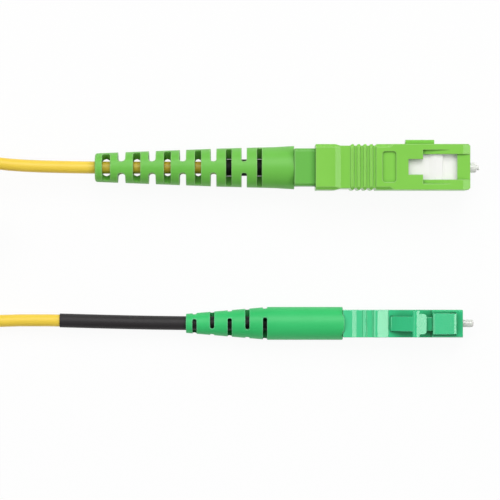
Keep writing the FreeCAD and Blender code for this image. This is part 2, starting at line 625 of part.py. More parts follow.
size = VALUES
spring("sc_spring", SC_AT, -size["sc_ring_front"] + size["fit_gap"],
       -total(FRAME_STOP) - size["sc_flange_length"] - size["fit_gap"],
       size["sc_spring_wire"], size["sc_spring_mean"])

# crimp sleeve, inner shrink sleeve and fibre of the push-pull plug
crimp_in = "sc_stem_dia / 2 + fit_gap"
crimp_out = "sc_stem_dia / 2 + fit_gap + crimp_wall"
body = new_body("sc_crimp_sleeve", SC_AT)
turned(body, [(f"-{sc_stem}", crimp_in), (f"-{sc_stem}", crimp_out),
              ("-sc_boot_front - crimp_inset", crimp_out), ("-sc_boot_front - crimp_inset", crimp_in)])
body = new_body("sc_inner_sleeve", SC_AT)
sleeve_end = f"{SC_MID} + fit_gap - {chain(SC_TAIL)}"
turned(body, [(sleeve_end, "cable_dia / 2 + fit_gap"), (sleeve_end, "inner_sleeve_dia / 2"),
              (f"-{sc_stem}", "inner_sleeve_dia / 2"), (f"-{sc_stem}", "cable_dia / 2 + fit_gap")])
body = new_body("sc_fibre", SC_AT)
turned(body, [(f"-{sc_stem}", "0"), (f"-{sc_stem}", "buffer_dia / 2"),
              (f"-{frame_stop} - sc_ferrule_seat - fit_gap", "buffer_dia / 2"),
              (f"-{frame_stop} - sc_ferrule_seat - fit_gap", "0")])

# segmented boot of the push-pull plug
body = new_body("sc_boot", SC_AT)
sc_tail = chain(SC_TAIL)
sc_mid = f"{SC_MID} - {sc_tail}"
sleeve_hole = "inner_sleeve_dia / 2 + fit_gap"
cable_hole = "cable_dia / 2 + boot_gap"
turned(body, [(f"-{sc_tail}", cable_hole), (f"-{sc_tail}", "sc_boot_tail_dia / 2 - sc_boot_round"),
              (f"0.3 * sc_boot_round - {sc_tail}", "sc_boot_tail_dia / 2 - 0.3 * sc_boot_round"),
              (f"sc_boot_round - {sc_tail}", "sc_boot_tail_dia / 2"), (sc_mid, "sc_boot_mid_dia / 2"),
              ("-sc_boot_front - sc_flare_length", "sc_boot_flare_dia / 2"),
              ("-sc_boot_front", "sc_boot_front_dia / 2"), ("-sc_boot_front", f"{crimp_out} + fit_gap"),
              (f"-{sc_stem}", f"{crimp_out} + fit_gap"), (f"-{sc_stem}", sleeve_hole), (sc_mid, sleeve_hole),
              (sc_mid, cable_hole)])
for k in range(2 * SC_SLOTS - 1):
    slot = f"(sc_tail_length + {k} / 2 * sc_slot_pitch)"
    width = f"(sc_slot_wide - (sc_slot_wide - sc_slot_thin) * {k / (2 * SC_SLOTS - 2)})"
    boot_slot(body, "XZ_Plane" if k % 2 else "XY_Plane", f"({slot} - {sc_tail})", width, "sc_slot_hole",
              "sc_web", sc_radius(k, slot))

# latched plug front housing
body = new_body("lc_front_housing", LC_AT)
half = "lc_width / 2"
outer = [(f"-{half}", f"lc_edge - {half}"), (f"lc_edge - {half}", f"-{half}"),
         (f"{half} - lc_edge", f"-{half}"), (half, f"lc_edge - {half}"), (half, f"{half} - lc_edge"),
         (f"{half} - lc_edge", half), (f"lc_edge - {half}", half), (f"-{half}", f"{half} - lc_edge")]
pad(body, sketch(body, "YZ_Plane", [outer], "-lc_front_length"), "lc_front_length")
low = box("-lc_front_length - 1", "-lc_low_end", f"{half} - lc_low_drop", "lc_width")
pocket(body, sketch(body, "XZ_Plane", [low]))
turned(body, [("1", "0"), ("1", "lc_mouth_dia / 2"), ("-lc_stop_front", "lc_mouth_dia / 2"),
              ("-lc_stop_front", "lc_stop_dia / 2"), ("-lc_stop_rear", "lc_stop_dia / 2"),
              ("-lc_stop_rear", "lc_bore_dia / 2"), ("-lc_front_length - 1", "lc_bore_dia / 2"),
              ("-lc_front_length - 1", "0")], "Groove")
pocket(body, ring_sketch(body, "XZ_Plane", "-latch_pivot", half, "latch_root + 2 * pivot_gap"),
       "latch_width + 2 * run_gap")
trigger_x = "(lc_front_length - trigger_lead)"
trigger_z = f"{half} - trigger_pivot_drop"
pocket(body, ring_sketch(body, "XZ_Plane", f"-{trigger_x}", trigger_z, "trigger_root + 2 * pivot_gap"),
       "trigger_arm_width + 2 * run_gap")

# latch, hinged at its front root
body = new_body("lc_latch", LC_AT)
under_step = f"{half} + tan(latch_lift * 1deg) * (latch_step - latch_pivot)"
under_end = f"{under_step} + latch_tail_rise"
front_top = f"{half} + latch_front_top"
rear_top = f"{half} + latch_rear_top"
latch_end = "(latch_step + latch_tail)"
block = [("-latch_pivot", half), ("-latch_front", half), ("-latch_front", f"{front_top} - latch_chin"),
         ("-latch_front - 0.3 * latch_edge", f"{front_top} - latch_edge_drop"),
         ("-latch_front - 1.3 * latch_edge", front_top), ("latch_edge - latch_step", rear_top),
         ("-latch_step", f"{rear_top} - latch_edge_drop"), ("-latch_step", under_step)]
pad(body, sketch(body, "XZ_Plane", [block]), "latch_width", both=True)
tail = [("latch_edge - latch_step", f"{under_step} + latch_tail_thick / 2"),
        ("latch_edge - latch_step", f"{under_step} + latch_tail_thick"),
        (f"-{latch_end}", f"{under_end} + latch_tail_thick"), (f"-{latch_end}", under_end),
        ("-latch_step", under_step)]
pad(body, sketch(body, "XZ_Plane", [tail]), "latch_tail_width", both=True)
pad(body, ring_sketch(body, "XZ_Plane", "-latch_pivot", half, "latch_root"), "latch_width", both=True)

# latched plug rear housing with grip ribs
body = new_body("lc_rear_housing", LC_AT)
floor = f"{half} - rib_floor"
ends = [f"-{chain(['lc_front_length'] + LC_RIBS[:k])}" for k in range(len(LC_RIBS) + 1)]
profile = [(ends[7], f"-{half}"), (ends[0], f"-{half}"), (ends[0], f"{floor} - rib_bevel / 3"),
           (ends[1], f"{half} + rib_rise"), (f"{ends[2]} + rib_bevel + rib_crest", f"{half} + rib_rise"),
           (f"{ends[2]} + rib_bevel", f"{half} + rib_rise - rib_crest_drop"), (ends[2], floor),
           (ends[3], floor), (f"{ends[3]} - rib_bevel", half), (f"{ends[4]} + rib_bevel + rib_crest", half),
           (f"{ends[4]} + rib_bevel", f"{half} - rib_crest_drop"), (ends[4], floor),
           (ends[5], floor), (ends[6], half), (ends[7], half)]
pad(body, sketch(body, "XZ_Plane", [profile]), "lc_width", both=True)
lc_stem_hole = "lc_stem_dia / 2 + fit_gap"
turned(body, [(f"{ends[7]} - 1", "0"), (f"{ends[7]} - 1", lc_stem_hole), ("0", lc_stem_hole),
              ("0", "0")], "Groove")

# trigger, hinged at its rear root
body = new_body("lc_trigger", LC_AT)
pad_low = f"{under_end} + latch_tail_thick + trigger_gap"
bar_top = f"{half} + trigger_bar_top"
bar_low = f"{bar_top} - trigger_bar_thick"
bar_rear = "(trigger_bar_front + trigger_bar_length)"
crest = "(trigger_bar_front + trigger_slope_lead)"
tip_x = "(trigger_bar_front - trigger_pad)"
slope = "(trigger_bar_top - trigger_tip_top) / (trigger_slope_lead + trigger_pad)"
arm = [(f"-{trigger_x} - trigger_root * 0.2", f"{trigger_z} + trigger_root * 0.4"),
       (f"-{trigger_x} + trigger_root * 0.2", f"{trigger_z} - trigger_root * 0.3"),
       (f"-{crest}", bar_low), (f"-{crest}", bar_top), (f"trigger_edge - {bar_rear}", bar_top),
       (f"-{bar_rear}", f"{bar_top} - trigger_edge_drop")]
pad(body, sketch(body, "XZ_Plane", [arm]), "trigger_arm_width", both=True)
pad(body, ring_sketch(body, "XZ_Plane", f"-{trigger_x}", trigger_z, "trigger_root"), "trigger_arm_width",
    both=True)
bar = [(f"-{bar_rear}", bar_low), ("-trigger_bar_front", bar_low),
       ("-trigger_bar_front", f"{bar_top} - {slope} * trigger_slope_lead"), (f"-{crest}", bar_top),
       (f"trigger_edge - {bar_rear}", bar_top), (f"-{bar_rear}", f"{bar_top} - trigger_edge_drop")]
pad(body, sketch(body, "XZ_Plane", [bar]), "trigger_bar_width", both=True)
tip = [(f"-{crest}", pad_low), ("-trigger_bar_front", pad_low),
       (f"-{tip_x}", f"{pad_low} + trigger_tip_relief"), (f"-{tip_x}", f"{half} + trigger_tip_top"),
       (f"-{crest}", bar_top)]
pad(body, sketch(body, "XZ_Plane", [tip]), "trigger_tip_width", both=True)
corner = "trigger_tip_corner"
edge = "trigger_tip_width / 2"
nip = [(f"-{tip_x}", edge), (f"-{tip_x} - {corner}", edge),
       (f"-{tip_x} - 0.3 * {corner}", f"{edge} - 0.3 * {corner}"), (f"-{tip_x}", f"{edge} - {corner}")]
pocket(body, sketch(body, "XY_Plane", both_sides(nip)))

# stop ring, flange, ferrule and spring of the latched plug
lc_stem = chain(LC_STEM)
body = new_body("lc_stop_ring", LC_AT)
barrel = "lc_bore_dia / 2 - fit_gap"
turned(body, [(f"-{lc_stem}", "stem_bore / 2"), (f"-{lc_stem}", "lc_stem_dia / 2"),
              ("-lc_front_length", "lc_stem_dia / 2"), ("-lc_front_length", barrel),
              ("-lc_ring_front", barrel), ("-lc_ring_front", "lc_ring_bore / 2"),
              ("-lc_ring_front - lc_ring_bore_depth", "lc_ring_bore / 2"),
              ("-lc_ring_front - lc_ring_bore_depth", "stem_bore / 2")])
lc_flange_rear = "-(lc_stop_rear + lc_flange_length)"
body = new_body("lc_ferrule_flange", LC_AT)
seat = "(lc_ferrule_dia - ferrule_seat_step) / 2 + fit_gap"
flange_rim = "lc_bore_dia / 2 - run_gap"
turned(body, [("-lc_stop_rear", seat), ("-lc_stop_rear", flange_rim), (lc_flange_rear, flange_rim),
              (lc_flange_rear, "lc_flange_tube_dia / 2"),
              (f"{lc_flange_rear} - lc_flange_tube", "lc_flange_tube_dia / 2"),
              (f"{lc_flange_rear} - lc_flange_tube", fibre_hole),
              ("-lc_stop_rear - lc_ferrule_seat - fit_gap", fibre_hole),
              ("-lc_stop_rear - lc_ferrule_seat - fit_gap", seat)])
body = new_body("lc_ferrule", LC_AT)
seat = "(lc_ferrule_dia - ferrule_seat_step) / 2"
shaft = "lc_ferrule_dia / 2"
turned(body, [("-lc_stop_rear - lc_ferrule_seat", "0"), ("-lc_stop_rear - lc_ferrule_seat", seat),
              ("-lc_stop_rear", seat), ("-lc_stop_rear", shaft), ("lc_tip_reach - lc_tip_cone", shaft),
              ("lc_tip_reach - 0.35 * lc_tip_cone", f"{shaft} - 0.35 * ({shaft} - lc_tip_dia / 2)"),
              ("lc_tip_reach", "lc_tip_dia / 2"), ("lc_tip_reach", "0")])
slant = "lc_tip_dia * tan(tip_angle * 1deg)"
polish = [("lc_tip_reach", "-lc_tip_dia / 2"), ("lc_tip_reach + 1", "-lc_tip_dia / 2"),
          ("lc_tip_reach + 1", "lc_tip_dia / 2"), (f"lc_tip_reach - {slant}", "lc_tip_dia / 2")]
pocket(body, sketch(body, "XZ_Plane", [polish]), "2 * lc_tip_dia")
spring("lc_spring", LC_AT, -size["lc_ring_front"] + size["fit_gap"],
       -size["lc_stop_rear"] - size["lc_flange_length"] - size["fit_gap"],
       size["lc_spring_wire"], size["lc_spring_mean"])

# crimp sleeve, fibre and boot of the latched plug
crimp_in = "lc_stem_dia / 2 + fit_gap"
crimp_out = "lc_stem_dia / 2 + fit_gap + lc_crimp_wall"
boot_front = f"-{chain(LC_MOUTH)}"
body = new_body("lc_crimp_sleeve", LC_AT)
turned(body, [(f"-{lc_stem}", crimp_in), (f"-{lc_stem}", crimp_out),
              (f"{boot_front} - crimp_inset", crimp_out), (f"{boot_front} - crimp_inset", crimp_in)])
body = new_body("lc_fibre", LC_AT)
turned(body, [(f"-{lc_stem}", "0"), (f"-{lc_stem}", "buffer_dia / 2"),
              ("-lc_stop_rear - lc_ferrule_seat - fit_gap", "buffer_dia / 2"),
              ("-lc_stop_rear - lc_ferrule_seat - fit_gap", "0")])
body = new_body("lc_boot", LC_AT)
body.Placement.Rotation = FreeCAD.Rotation(FreeCAD.Vector(1, 0, 0), 45)
tube_hole = "tube_dia / 2 + tube_play"
lc_tail = chain(LC_TAIL)
lip_front = f"{boot_front} + lc_boot_lip"
turned(body, [(f"-{lc_tail}", tube_hole), (f"-{lc_tail}", "lc_boot_tail_dia / 2"),
              (f"-{chain(LC_TAPER)}", "lc_boot_dia / 2"), (lip_front, "lc_boot_dia / 2"),
              (lip_front, f"{crimp_out} + fit_gap"), (f"-{lc_stem}", f"{crimp_out} + fit_gap"),
              (f"-{lc_stem}", tube_hole)])
lc_taper = f"(lc_boot_dia - lc_boot_tail_dia) / 2 / ({lc_tail} - {chain(LC_TAPER)})"
for k in range(LC_SLOTS):
    slot = f"(lc_tail_length + {k} * lc_slot_pitch)"
    radius = f"lc_boot_tail_dia / 2 + {lc_taper} * {slot}"
    boot_slot(body, "XZ_Plane" if k % 2 else "XY_Plane", f"({slot} - {lc_tail})", "lc_slot_width", tube_hole,
              f"lc_web_share * ({radius})", radius)
bow = []
for k in range(-4, 5):
    y = f"{k} / 4 * lc_boot_dia / 2"
    bow.append((f"{lip_front} - lc_boot_bow + sqrt(lc_boot_bow^2 - ({y})^2)", y))
bow += [(f"{lip_front} + 1", "lc_boot_dia / 2"), (f"{lip_front} + 1", "-lc_boot_dia / 2")]
seat = box(boot_front, f"{lip_front} + 1", f"-{half} - lc_lip_gap", f"{half} + lc_lip_gap")
bow_sketch = sketch(body, "XY_Plane", [bow])
seat_sketch = sketch(body, "XZ_Plane", [seat])
for turned_sketch in (bow_sketch, seat_sketch):
    turned_sketch.AttachmentOffset = FreeCAD.Placement(FreeCAD.Vector(0, 0, 0), FreeCAD.Vector(1, 0, 0), -45)
pocket(body, bow_sketch)
pocket(body, seat_sketch, "lc_width + 2 * lc_lip_gap")

# cable: two leads, shrink tube, coil and its ties
sc_x = (size["plug_offset"] + total(TUBE_END) - size["sc_tip_reach"]) / 2
sc_y = (size["axis_spacing"] + size["lc_boot_dia"] / 2 - size["sc_width"] / 2 - size["key_height"]) / 2
sc_z = size["sc_height"] / 2
lc_x = sc_x - size["plug_offset"]
lc_y = sc_y - size["axis_spacing"]
lc_z = size["lc_boot_dia"] / 2
cable = size["cable_dia"] / 2
coil_low = size["tie_thick"] + size["tie_gap"]
top_y = size["coil_y"] + size["top_lane"]
top_z = coil_low + size["coil_height"] - cable
low_y = size["coil_y"] - size["coil_outer"] + cable
low_z = coil_low + cable
V = FreeCAD.Vector
sc_route = [V(sc_x - total(SC_STEM), sc_y, sc_z), V(sc_x - total(SC_TAIL) - size["sc_run"], sc_y, sc_z),
            V(size["sc_way_x"], sc_y + size["sc_way_shift"], sc_z + size["sc_way_rise"]),
            V(size["lane_x"], top_y, top_z), V(size["coil_x"], top_y, top_z)]
lc_route = [V(lc_x - total(LC_STEM), lc_y, lc_z), V(lc_x - total(LC_TAIL) - size["lc_run"], lc_y, lc_z),
            V(size["lc_way_x"], lc_y + size["lc_way_shift"], lc_z - size["lc_way_drop"]),
            V(size["lane_x"], low_y, low_z), V(size["coil_x"], low_y, low_z)]
lc_path = path_of(lc_route)
for node, path in (("cable_sc_lead", path_of(sc_route)), ("cable_lc_lead", lc_path)):
    lead = doc.addObject("Part::Feature", node)
    lead.Shape = swept(path, cable)
    keep(lead, node)

sleeve = swept(lc_path, size["tube_dia"] / 2).cut(swept(lc_path, cable + size["tube_gap"]))
tube_front = total(LC_STEM) + size["tube_inset"]
side = 4 * size["tube_dia"]
slab = Part.makeBox(total(TUBE_END) - tube_front, side, side,
                    V(lc_x - total(TUBE_END), lc_y - side / 2, lc_z - side / 2))
tube = doc.addObject("Part::Feature", "lc_shrink_tube")
tube.Shape = sleeve.common(slab).Solids[0]
keep(tube, "lc_shrink_tube")

body = new_body("cable_coil", ("coil_x", "coil_y", "tie_thick + tie_gap"))
ring = box("coil_inner", "coil_outer", "0", "coil_height")
made = feature(body, "Revolution", sketch(body, "XZ_Plane", [ring]))
made.ReferenceAxis = (origin(body, "Z_Axis"), [""])
made.Angle = 360

near = "sqrt(coil_inner^2 - tie_width^2 / 4) - tie_gap"
far = "coil_outer + tie_gap"
loops = []
for side in (1, -1):
    for thick in ("0", "tie_thick"):
        loops.append(box(f"{side} * ({near} - {thick})", f"{side} * ({far} + {thick})",
                         f"tie_thick - {thick}", f"tie_thick + 2 * tie_gap + coil_height + {thick}"))
body = new_body("coil_ties", ("coil_x", "coil_y", "0"))
body.AllowCompound = True
pad(body, sketch(body, "XZ_Plane", loops), "tie_width", both=True)

doc.recompute()
bad = [o.Label for o in doc.Objects if "Invalid" in o.State or "Error" in o.State]
if bad:
    raise SystemExit(f"not built: {bad}")
os.makedirs("parts", exist_ok=True)
for part in PARTS:
    if not part.Shape.isValid() or not part.Shape.Solids:
        raise SystemExit(f"bad shape: {part.Label}")
    part.Shape.exportStep(f"parts/{part.Label}.step")
    print(part.Label, len(part.Shape.Solids), round(part.Shape.Volume, 2))
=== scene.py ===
import json
import logging
import math
from dataclasses import dataclass, field, replace
from enum import Enum

import bpy
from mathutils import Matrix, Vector


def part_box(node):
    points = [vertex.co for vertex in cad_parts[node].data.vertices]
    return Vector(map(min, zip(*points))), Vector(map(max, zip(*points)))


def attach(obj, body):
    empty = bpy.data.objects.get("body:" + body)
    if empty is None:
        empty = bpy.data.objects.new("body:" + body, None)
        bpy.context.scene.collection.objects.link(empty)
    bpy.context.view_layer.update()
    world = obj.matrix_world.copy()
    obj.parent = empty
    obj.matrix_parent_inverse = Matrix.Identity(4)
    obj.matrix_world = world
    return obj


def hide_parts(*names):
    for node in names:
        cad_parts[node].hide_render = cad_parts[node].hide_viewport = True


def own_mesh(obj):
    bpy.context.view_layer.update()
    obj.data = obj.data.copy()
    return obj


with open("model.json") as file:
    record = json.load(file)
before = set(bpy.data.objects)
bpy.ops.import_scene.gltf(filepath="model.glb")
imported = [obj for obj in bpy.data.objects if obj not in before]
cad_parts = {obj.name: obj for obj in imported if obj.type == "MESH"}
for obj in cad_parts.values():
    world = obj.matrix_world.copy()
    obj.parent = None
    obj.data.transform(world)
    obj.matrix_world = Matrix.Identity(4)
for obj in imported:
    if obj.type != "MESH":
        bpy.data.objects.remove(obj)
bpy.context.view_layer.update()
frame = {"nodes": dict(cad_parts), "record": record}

LOG = logging.getLogger("patch_cord")
MM = 0.001
# Painted shade in hollows: the darkest tone is the linear base squared and scaled by this share
PAINTED_SHADE_SHARE = 0.25
# Noise detail of flow clouds and of fine grain, and the clouds' share of the relief
CLOUD_DETAIL = 3.0
GRAIN_DETAIL = 2.0
CLOUD_RELIEF = 0.25
# Stretch of turning marks round the axis
RING_STRETCH = 0.02
# Cosine between true and rounded normal where the painted edge highlight begins and where it is full
EDGE_BEGINS = 0.995
EDGE_FULL = 0.96
EDGE_SAMPLES = 6
# The painted edge highlight is left out in a hollow: it falls from its start at this rate
HIGHLIGHT_START = 1.3
HIGHLIGHT_FALL = -2.2
HOLLOW_SAMPLES = 8
# Cloud values between which the two tones of a finish change over
TONE_FROM = 0.3
TONE_TO = 0.6
BUMP_STRENGTH = 0.5
# Sockets of a colour Mix node
MIX_SHARE, MIX_FIRST, MIX_SECOND, MIX_RESULT = 0, 6, 7, 2
Point = tuple[float, float, float]
Tree = bpy.types.NodeTree
Node = bpy.types.Node
Socket = bpy.types.NodeSocket


class Slot(Enum):
    """Material slots of the record."""

    PUSH_PULL_GREEN = "sc_green_gloss"
    PUSH_PULL_BOOT = "sc_boot_green"
    FRAME_WHITE = "frame_white"
    LATCHED_GREEN = "lc_green_gloss"
    LATCHED_BOOT = "lc_boot_green"
    ZIRCONIA = "zirconia"
    PLATED = "plated_metal"
    CRIMP = "crimp_metal"
    SPRING = "spring_steel"
    INNER_SLEEVE = "black_sleeve"
    SHRINK_TUBE = "shrink_tube"
    BUFFER = "buffer"
    JACKET = "cable_jacket"
    TIE = "tie"


class Body(Enum):
    """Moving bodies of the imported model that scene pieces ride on."""

    CORD = "cord"


class Skin(Enum):
    """Kinds of surface texture."""

    MOULDED = "moulded"
    TURNED = "turned"


def linear(red: int, green: int, blue: int) -> tuple[float, float, float, float]:
    """Turn a display colour into the linear one that shaders use.

    Args:
        red: Red from 0 to 255.
        green: Green from 0 to 255.
        blue: Blue from 0 to 255.

    Returns:
        Linear red, green and blue with full alpha.
    """
    values = []
    for level in (red, green, blue):
        share = level / 255
        values.append(share / 12.92 if share <= 0.04045 else ((share + 0.055) / 1.055) ** 2.4)
    return (values[0], values[1], values[2], 1.0)


def metres(points: list[Point]) -> list[Vector]:
    """Millimetre points as vectors in metres."""
    return [Vector(point) * MM for point in points]


class Graph:
    """Short calls for placing and joining the nodes of one tree."""

    def __init__(self, tree: Tree) -> None:
        """Keep the tree that the calls work on."""
        self.tree = tree

    def add(self, kind: str, **settings: object) -> Node:
        """Place a node and set its properties.

        Args:
            kind: Node type name.
            settings: Properties by name.

        Returns:
            The new node.
        """
        node = self.tree.nodes.new(kind)
        for name, value in settings.items():
            setattr(node, name, value)
        return node

    def join(self, start: Socket, end: Socket) -> None:
        """Link an output to an input."""
        self.tree.links.new(start, end)

    def feed(self, socket: Socket, source: Socket | float) -> None:
        """Link a socket to a source, or set it to a number."""
        if isinstance(source, (int, float)):
            socket.default_value = source
        else:
            self.join(source, socket)

    def math(self, operation: str, *sources: Socket | float) -> Socket:
        """Place a maths node on sockets or numbers.

        Args:
            operation: Blender's name of the operation.
            sources: Inputs in order.

        Returns:
            The result's socket.
        """
        node = self.add("ShaderNodeMath", operation=operation)
        for socket, source in zip(node.inputs, sources):
            self.feed(socket, source)
        return node.outputs["Value"]


def new_group(name: str, inputs: dict[str, float], outputs: dict[str, str]) -> Graph:
    """Make a shader node group with number inputs.

    Args:
        name: Group name.
        inputs: Default value of each input.
        outputs: Socket type of each output.

    Returns:
        The group's graph.
    """
    tree = bpy.data.node_groups.new(name, "ShaderNodeTree")
    for label, value in inputs.items():
        socket = tree.interface.new_socket(label, in_out="INPUT", socket_type="NodeSocketFloat")
        socket.default_value = value
    for label, kind in outputs.items():
        tree.interface.new_socket(label, in_out="OUTPUT", socket_type=kind)
    return Graph(tree)


def moulded_skin() -> Tree:
    """Build the group for moulded surfaces: flow clouds and fine grain.

    Returns:
        Group with the outputs Cloud and Height.
    """
    graph = new_group("moulded_skin", {"Cloud Scale": 120.0, "Grain Scale": 9000.0},
                      {"Cloud": "NodeSocketFloat", "Height": "NodeSocketFloat"})
    entry = graph.add("NodeGroupInput")
    leave = graph.add("NodeGroupOutput")
    place = graph.add("ShaderNodeTexCoord")
    cloud = graph.add("ShaderNodeTexNoise")
    cloud.inputs["Detail"].default_value = CLOUD_DETAIL
    grain = graph.add("ShaderNodeTexNoise")
    grain.inputs["Detail"].default_value = GRAIN_DETAIL
    for noise, scale in ((cloud, "Cloud Scale"), (grain, "Grain Scale")):
        graph.join(place.outputs["Object"], noise.inputs["Vector"])
        graph.join(entry.outputs[scale], noise.inputs["Scale"])
    height = graph.math("MULTIPLY_ADD", cloud.outputs["Fac"], CLOUD_RELIEF, grain.outputs["Fac"])
    graph.join(cloud.outputs["Fac"], leave.inputs["Cloud"])
    graph.join(height, leave.inputs["Height"])
    return graph.tree


def turned_lines() -> Tree:
    """Build the group for turned and drawn metal: fine rings round the X axis.

    Returns:
        Group with the outputs Cloud and Height.
    """
    graph = new_group("turned_lines", {"Cloud Scale": 120.0, "Grain Scale": 6000.0},
                      {"Cloud": "NodeSocketFloat", "Height": "NodeSocketFloat"})
    entry = graph.add("NodeGroupInput")
    leave = graph.add("NodeGroupOutput")
    place = graph.add("ShaderNodeTexCoord")
    squeeze = graph.add("ShaderNodeMapping")
    squeeze.inputs["Scale"].default_value = (1.0, RING_STRETCH, RING_STRETCH)
    graph.join(place.outputs["Object"], squeeze.inputs["Vector"])
    for scale, output in (("Cloud Scale", "Cloud"), ("Grain Scale", "Height")):
        noise = graph.add("ShaderNodeTexNoise")
        noise.inputs["Detail"].default_value = CLOUD_DETAIL
        graph.join(squeeze.outputs["Vector"], noise.inputs["Vector"])
        graph.join(entry.outputs[scale], noise.inputs["Scale"])
        graph.join(noise.outputs["Fac"], leave.inputs[output])
    return graph.tree


def soft_edge() -> Tree:
    """Build the group that rounds edges in shading and finds raised edges and hollows.

    Returns:
        Group with the outputs Normal, Edge and Hollow.
    """
    masks = {"Normal": "NodeSocketVector", "Edge": "NodeSocketFloat", "Hollow": "NodeSocketFloat"}
    graph = new_group("soft_edge", {"Radius": 0.00008, "Reach": 0.0012}, masks)
    entry = graph.add("NodeGroupInput")
    leave = graph.add("NodeGroupOutput")
    bevel = graph.add("ShaderNodeBevel", samples=EDGE_SAMPLES)
    shape = graph.add("ShaderNodeNewGeometry")
    dot = graph.add("ShaderNodeVectorMath", operation="DOT_PRODUCT")
    span = graph.add("ShaderNodeMapRange")
    span.inputs["From Min"].default_value = EDGE_BEGINS
    span.inputs["From Max"].default_value = EDGE_FULL
    graph.join(entry.outputs["Radius"], bevel.inputs["Radius"])
    graph.join(bevel.outputs["Normal"], dot.inputs[0])
    graph.join(shape.outputs["Normal"], dot.inputs[1])
    graph.join(dot.outputs["Value"], span.inputs["Value"])
    graph.join(bevel.outputs["Normal"], leave.inputs["Normal"])
    # Occlusion of the surface: the mask by which the finishes paint shade into hollows
    around = graph.add("ShaderNodeAmbientOcclusion", samples=HOLLOW_SAMPLES)
    graph.join(entry.outputs["Reach"], around.inputs["Distance"])
    hollow_shade = graph.math("SUBTRACT", 1.0, around.outputs["AO"])
    open_share = graph.math("MAXIMUM", graph.math("MULTIPLY_ADD", hollow_shade, HIGHLIGHT_FALL, HIGHLIGHT_START), 0.0)
    graph.join(graph.math("MULTIPLY", span.outputs["Result"], open_share), leave.inputs["Edge"])
    graph.join(hollow_shade, leave.inputs["Hollow"])
    return graph.tree


class Effects:
    """Node groups that several finishes share, each built once."""

    def __init__(self) -> None:
        """Build every group."""
        self.skins = {Skin.MOULDED: moulded_skin(), Skin.TURNED: turned_lines()}
        self.edge = soft_edge()


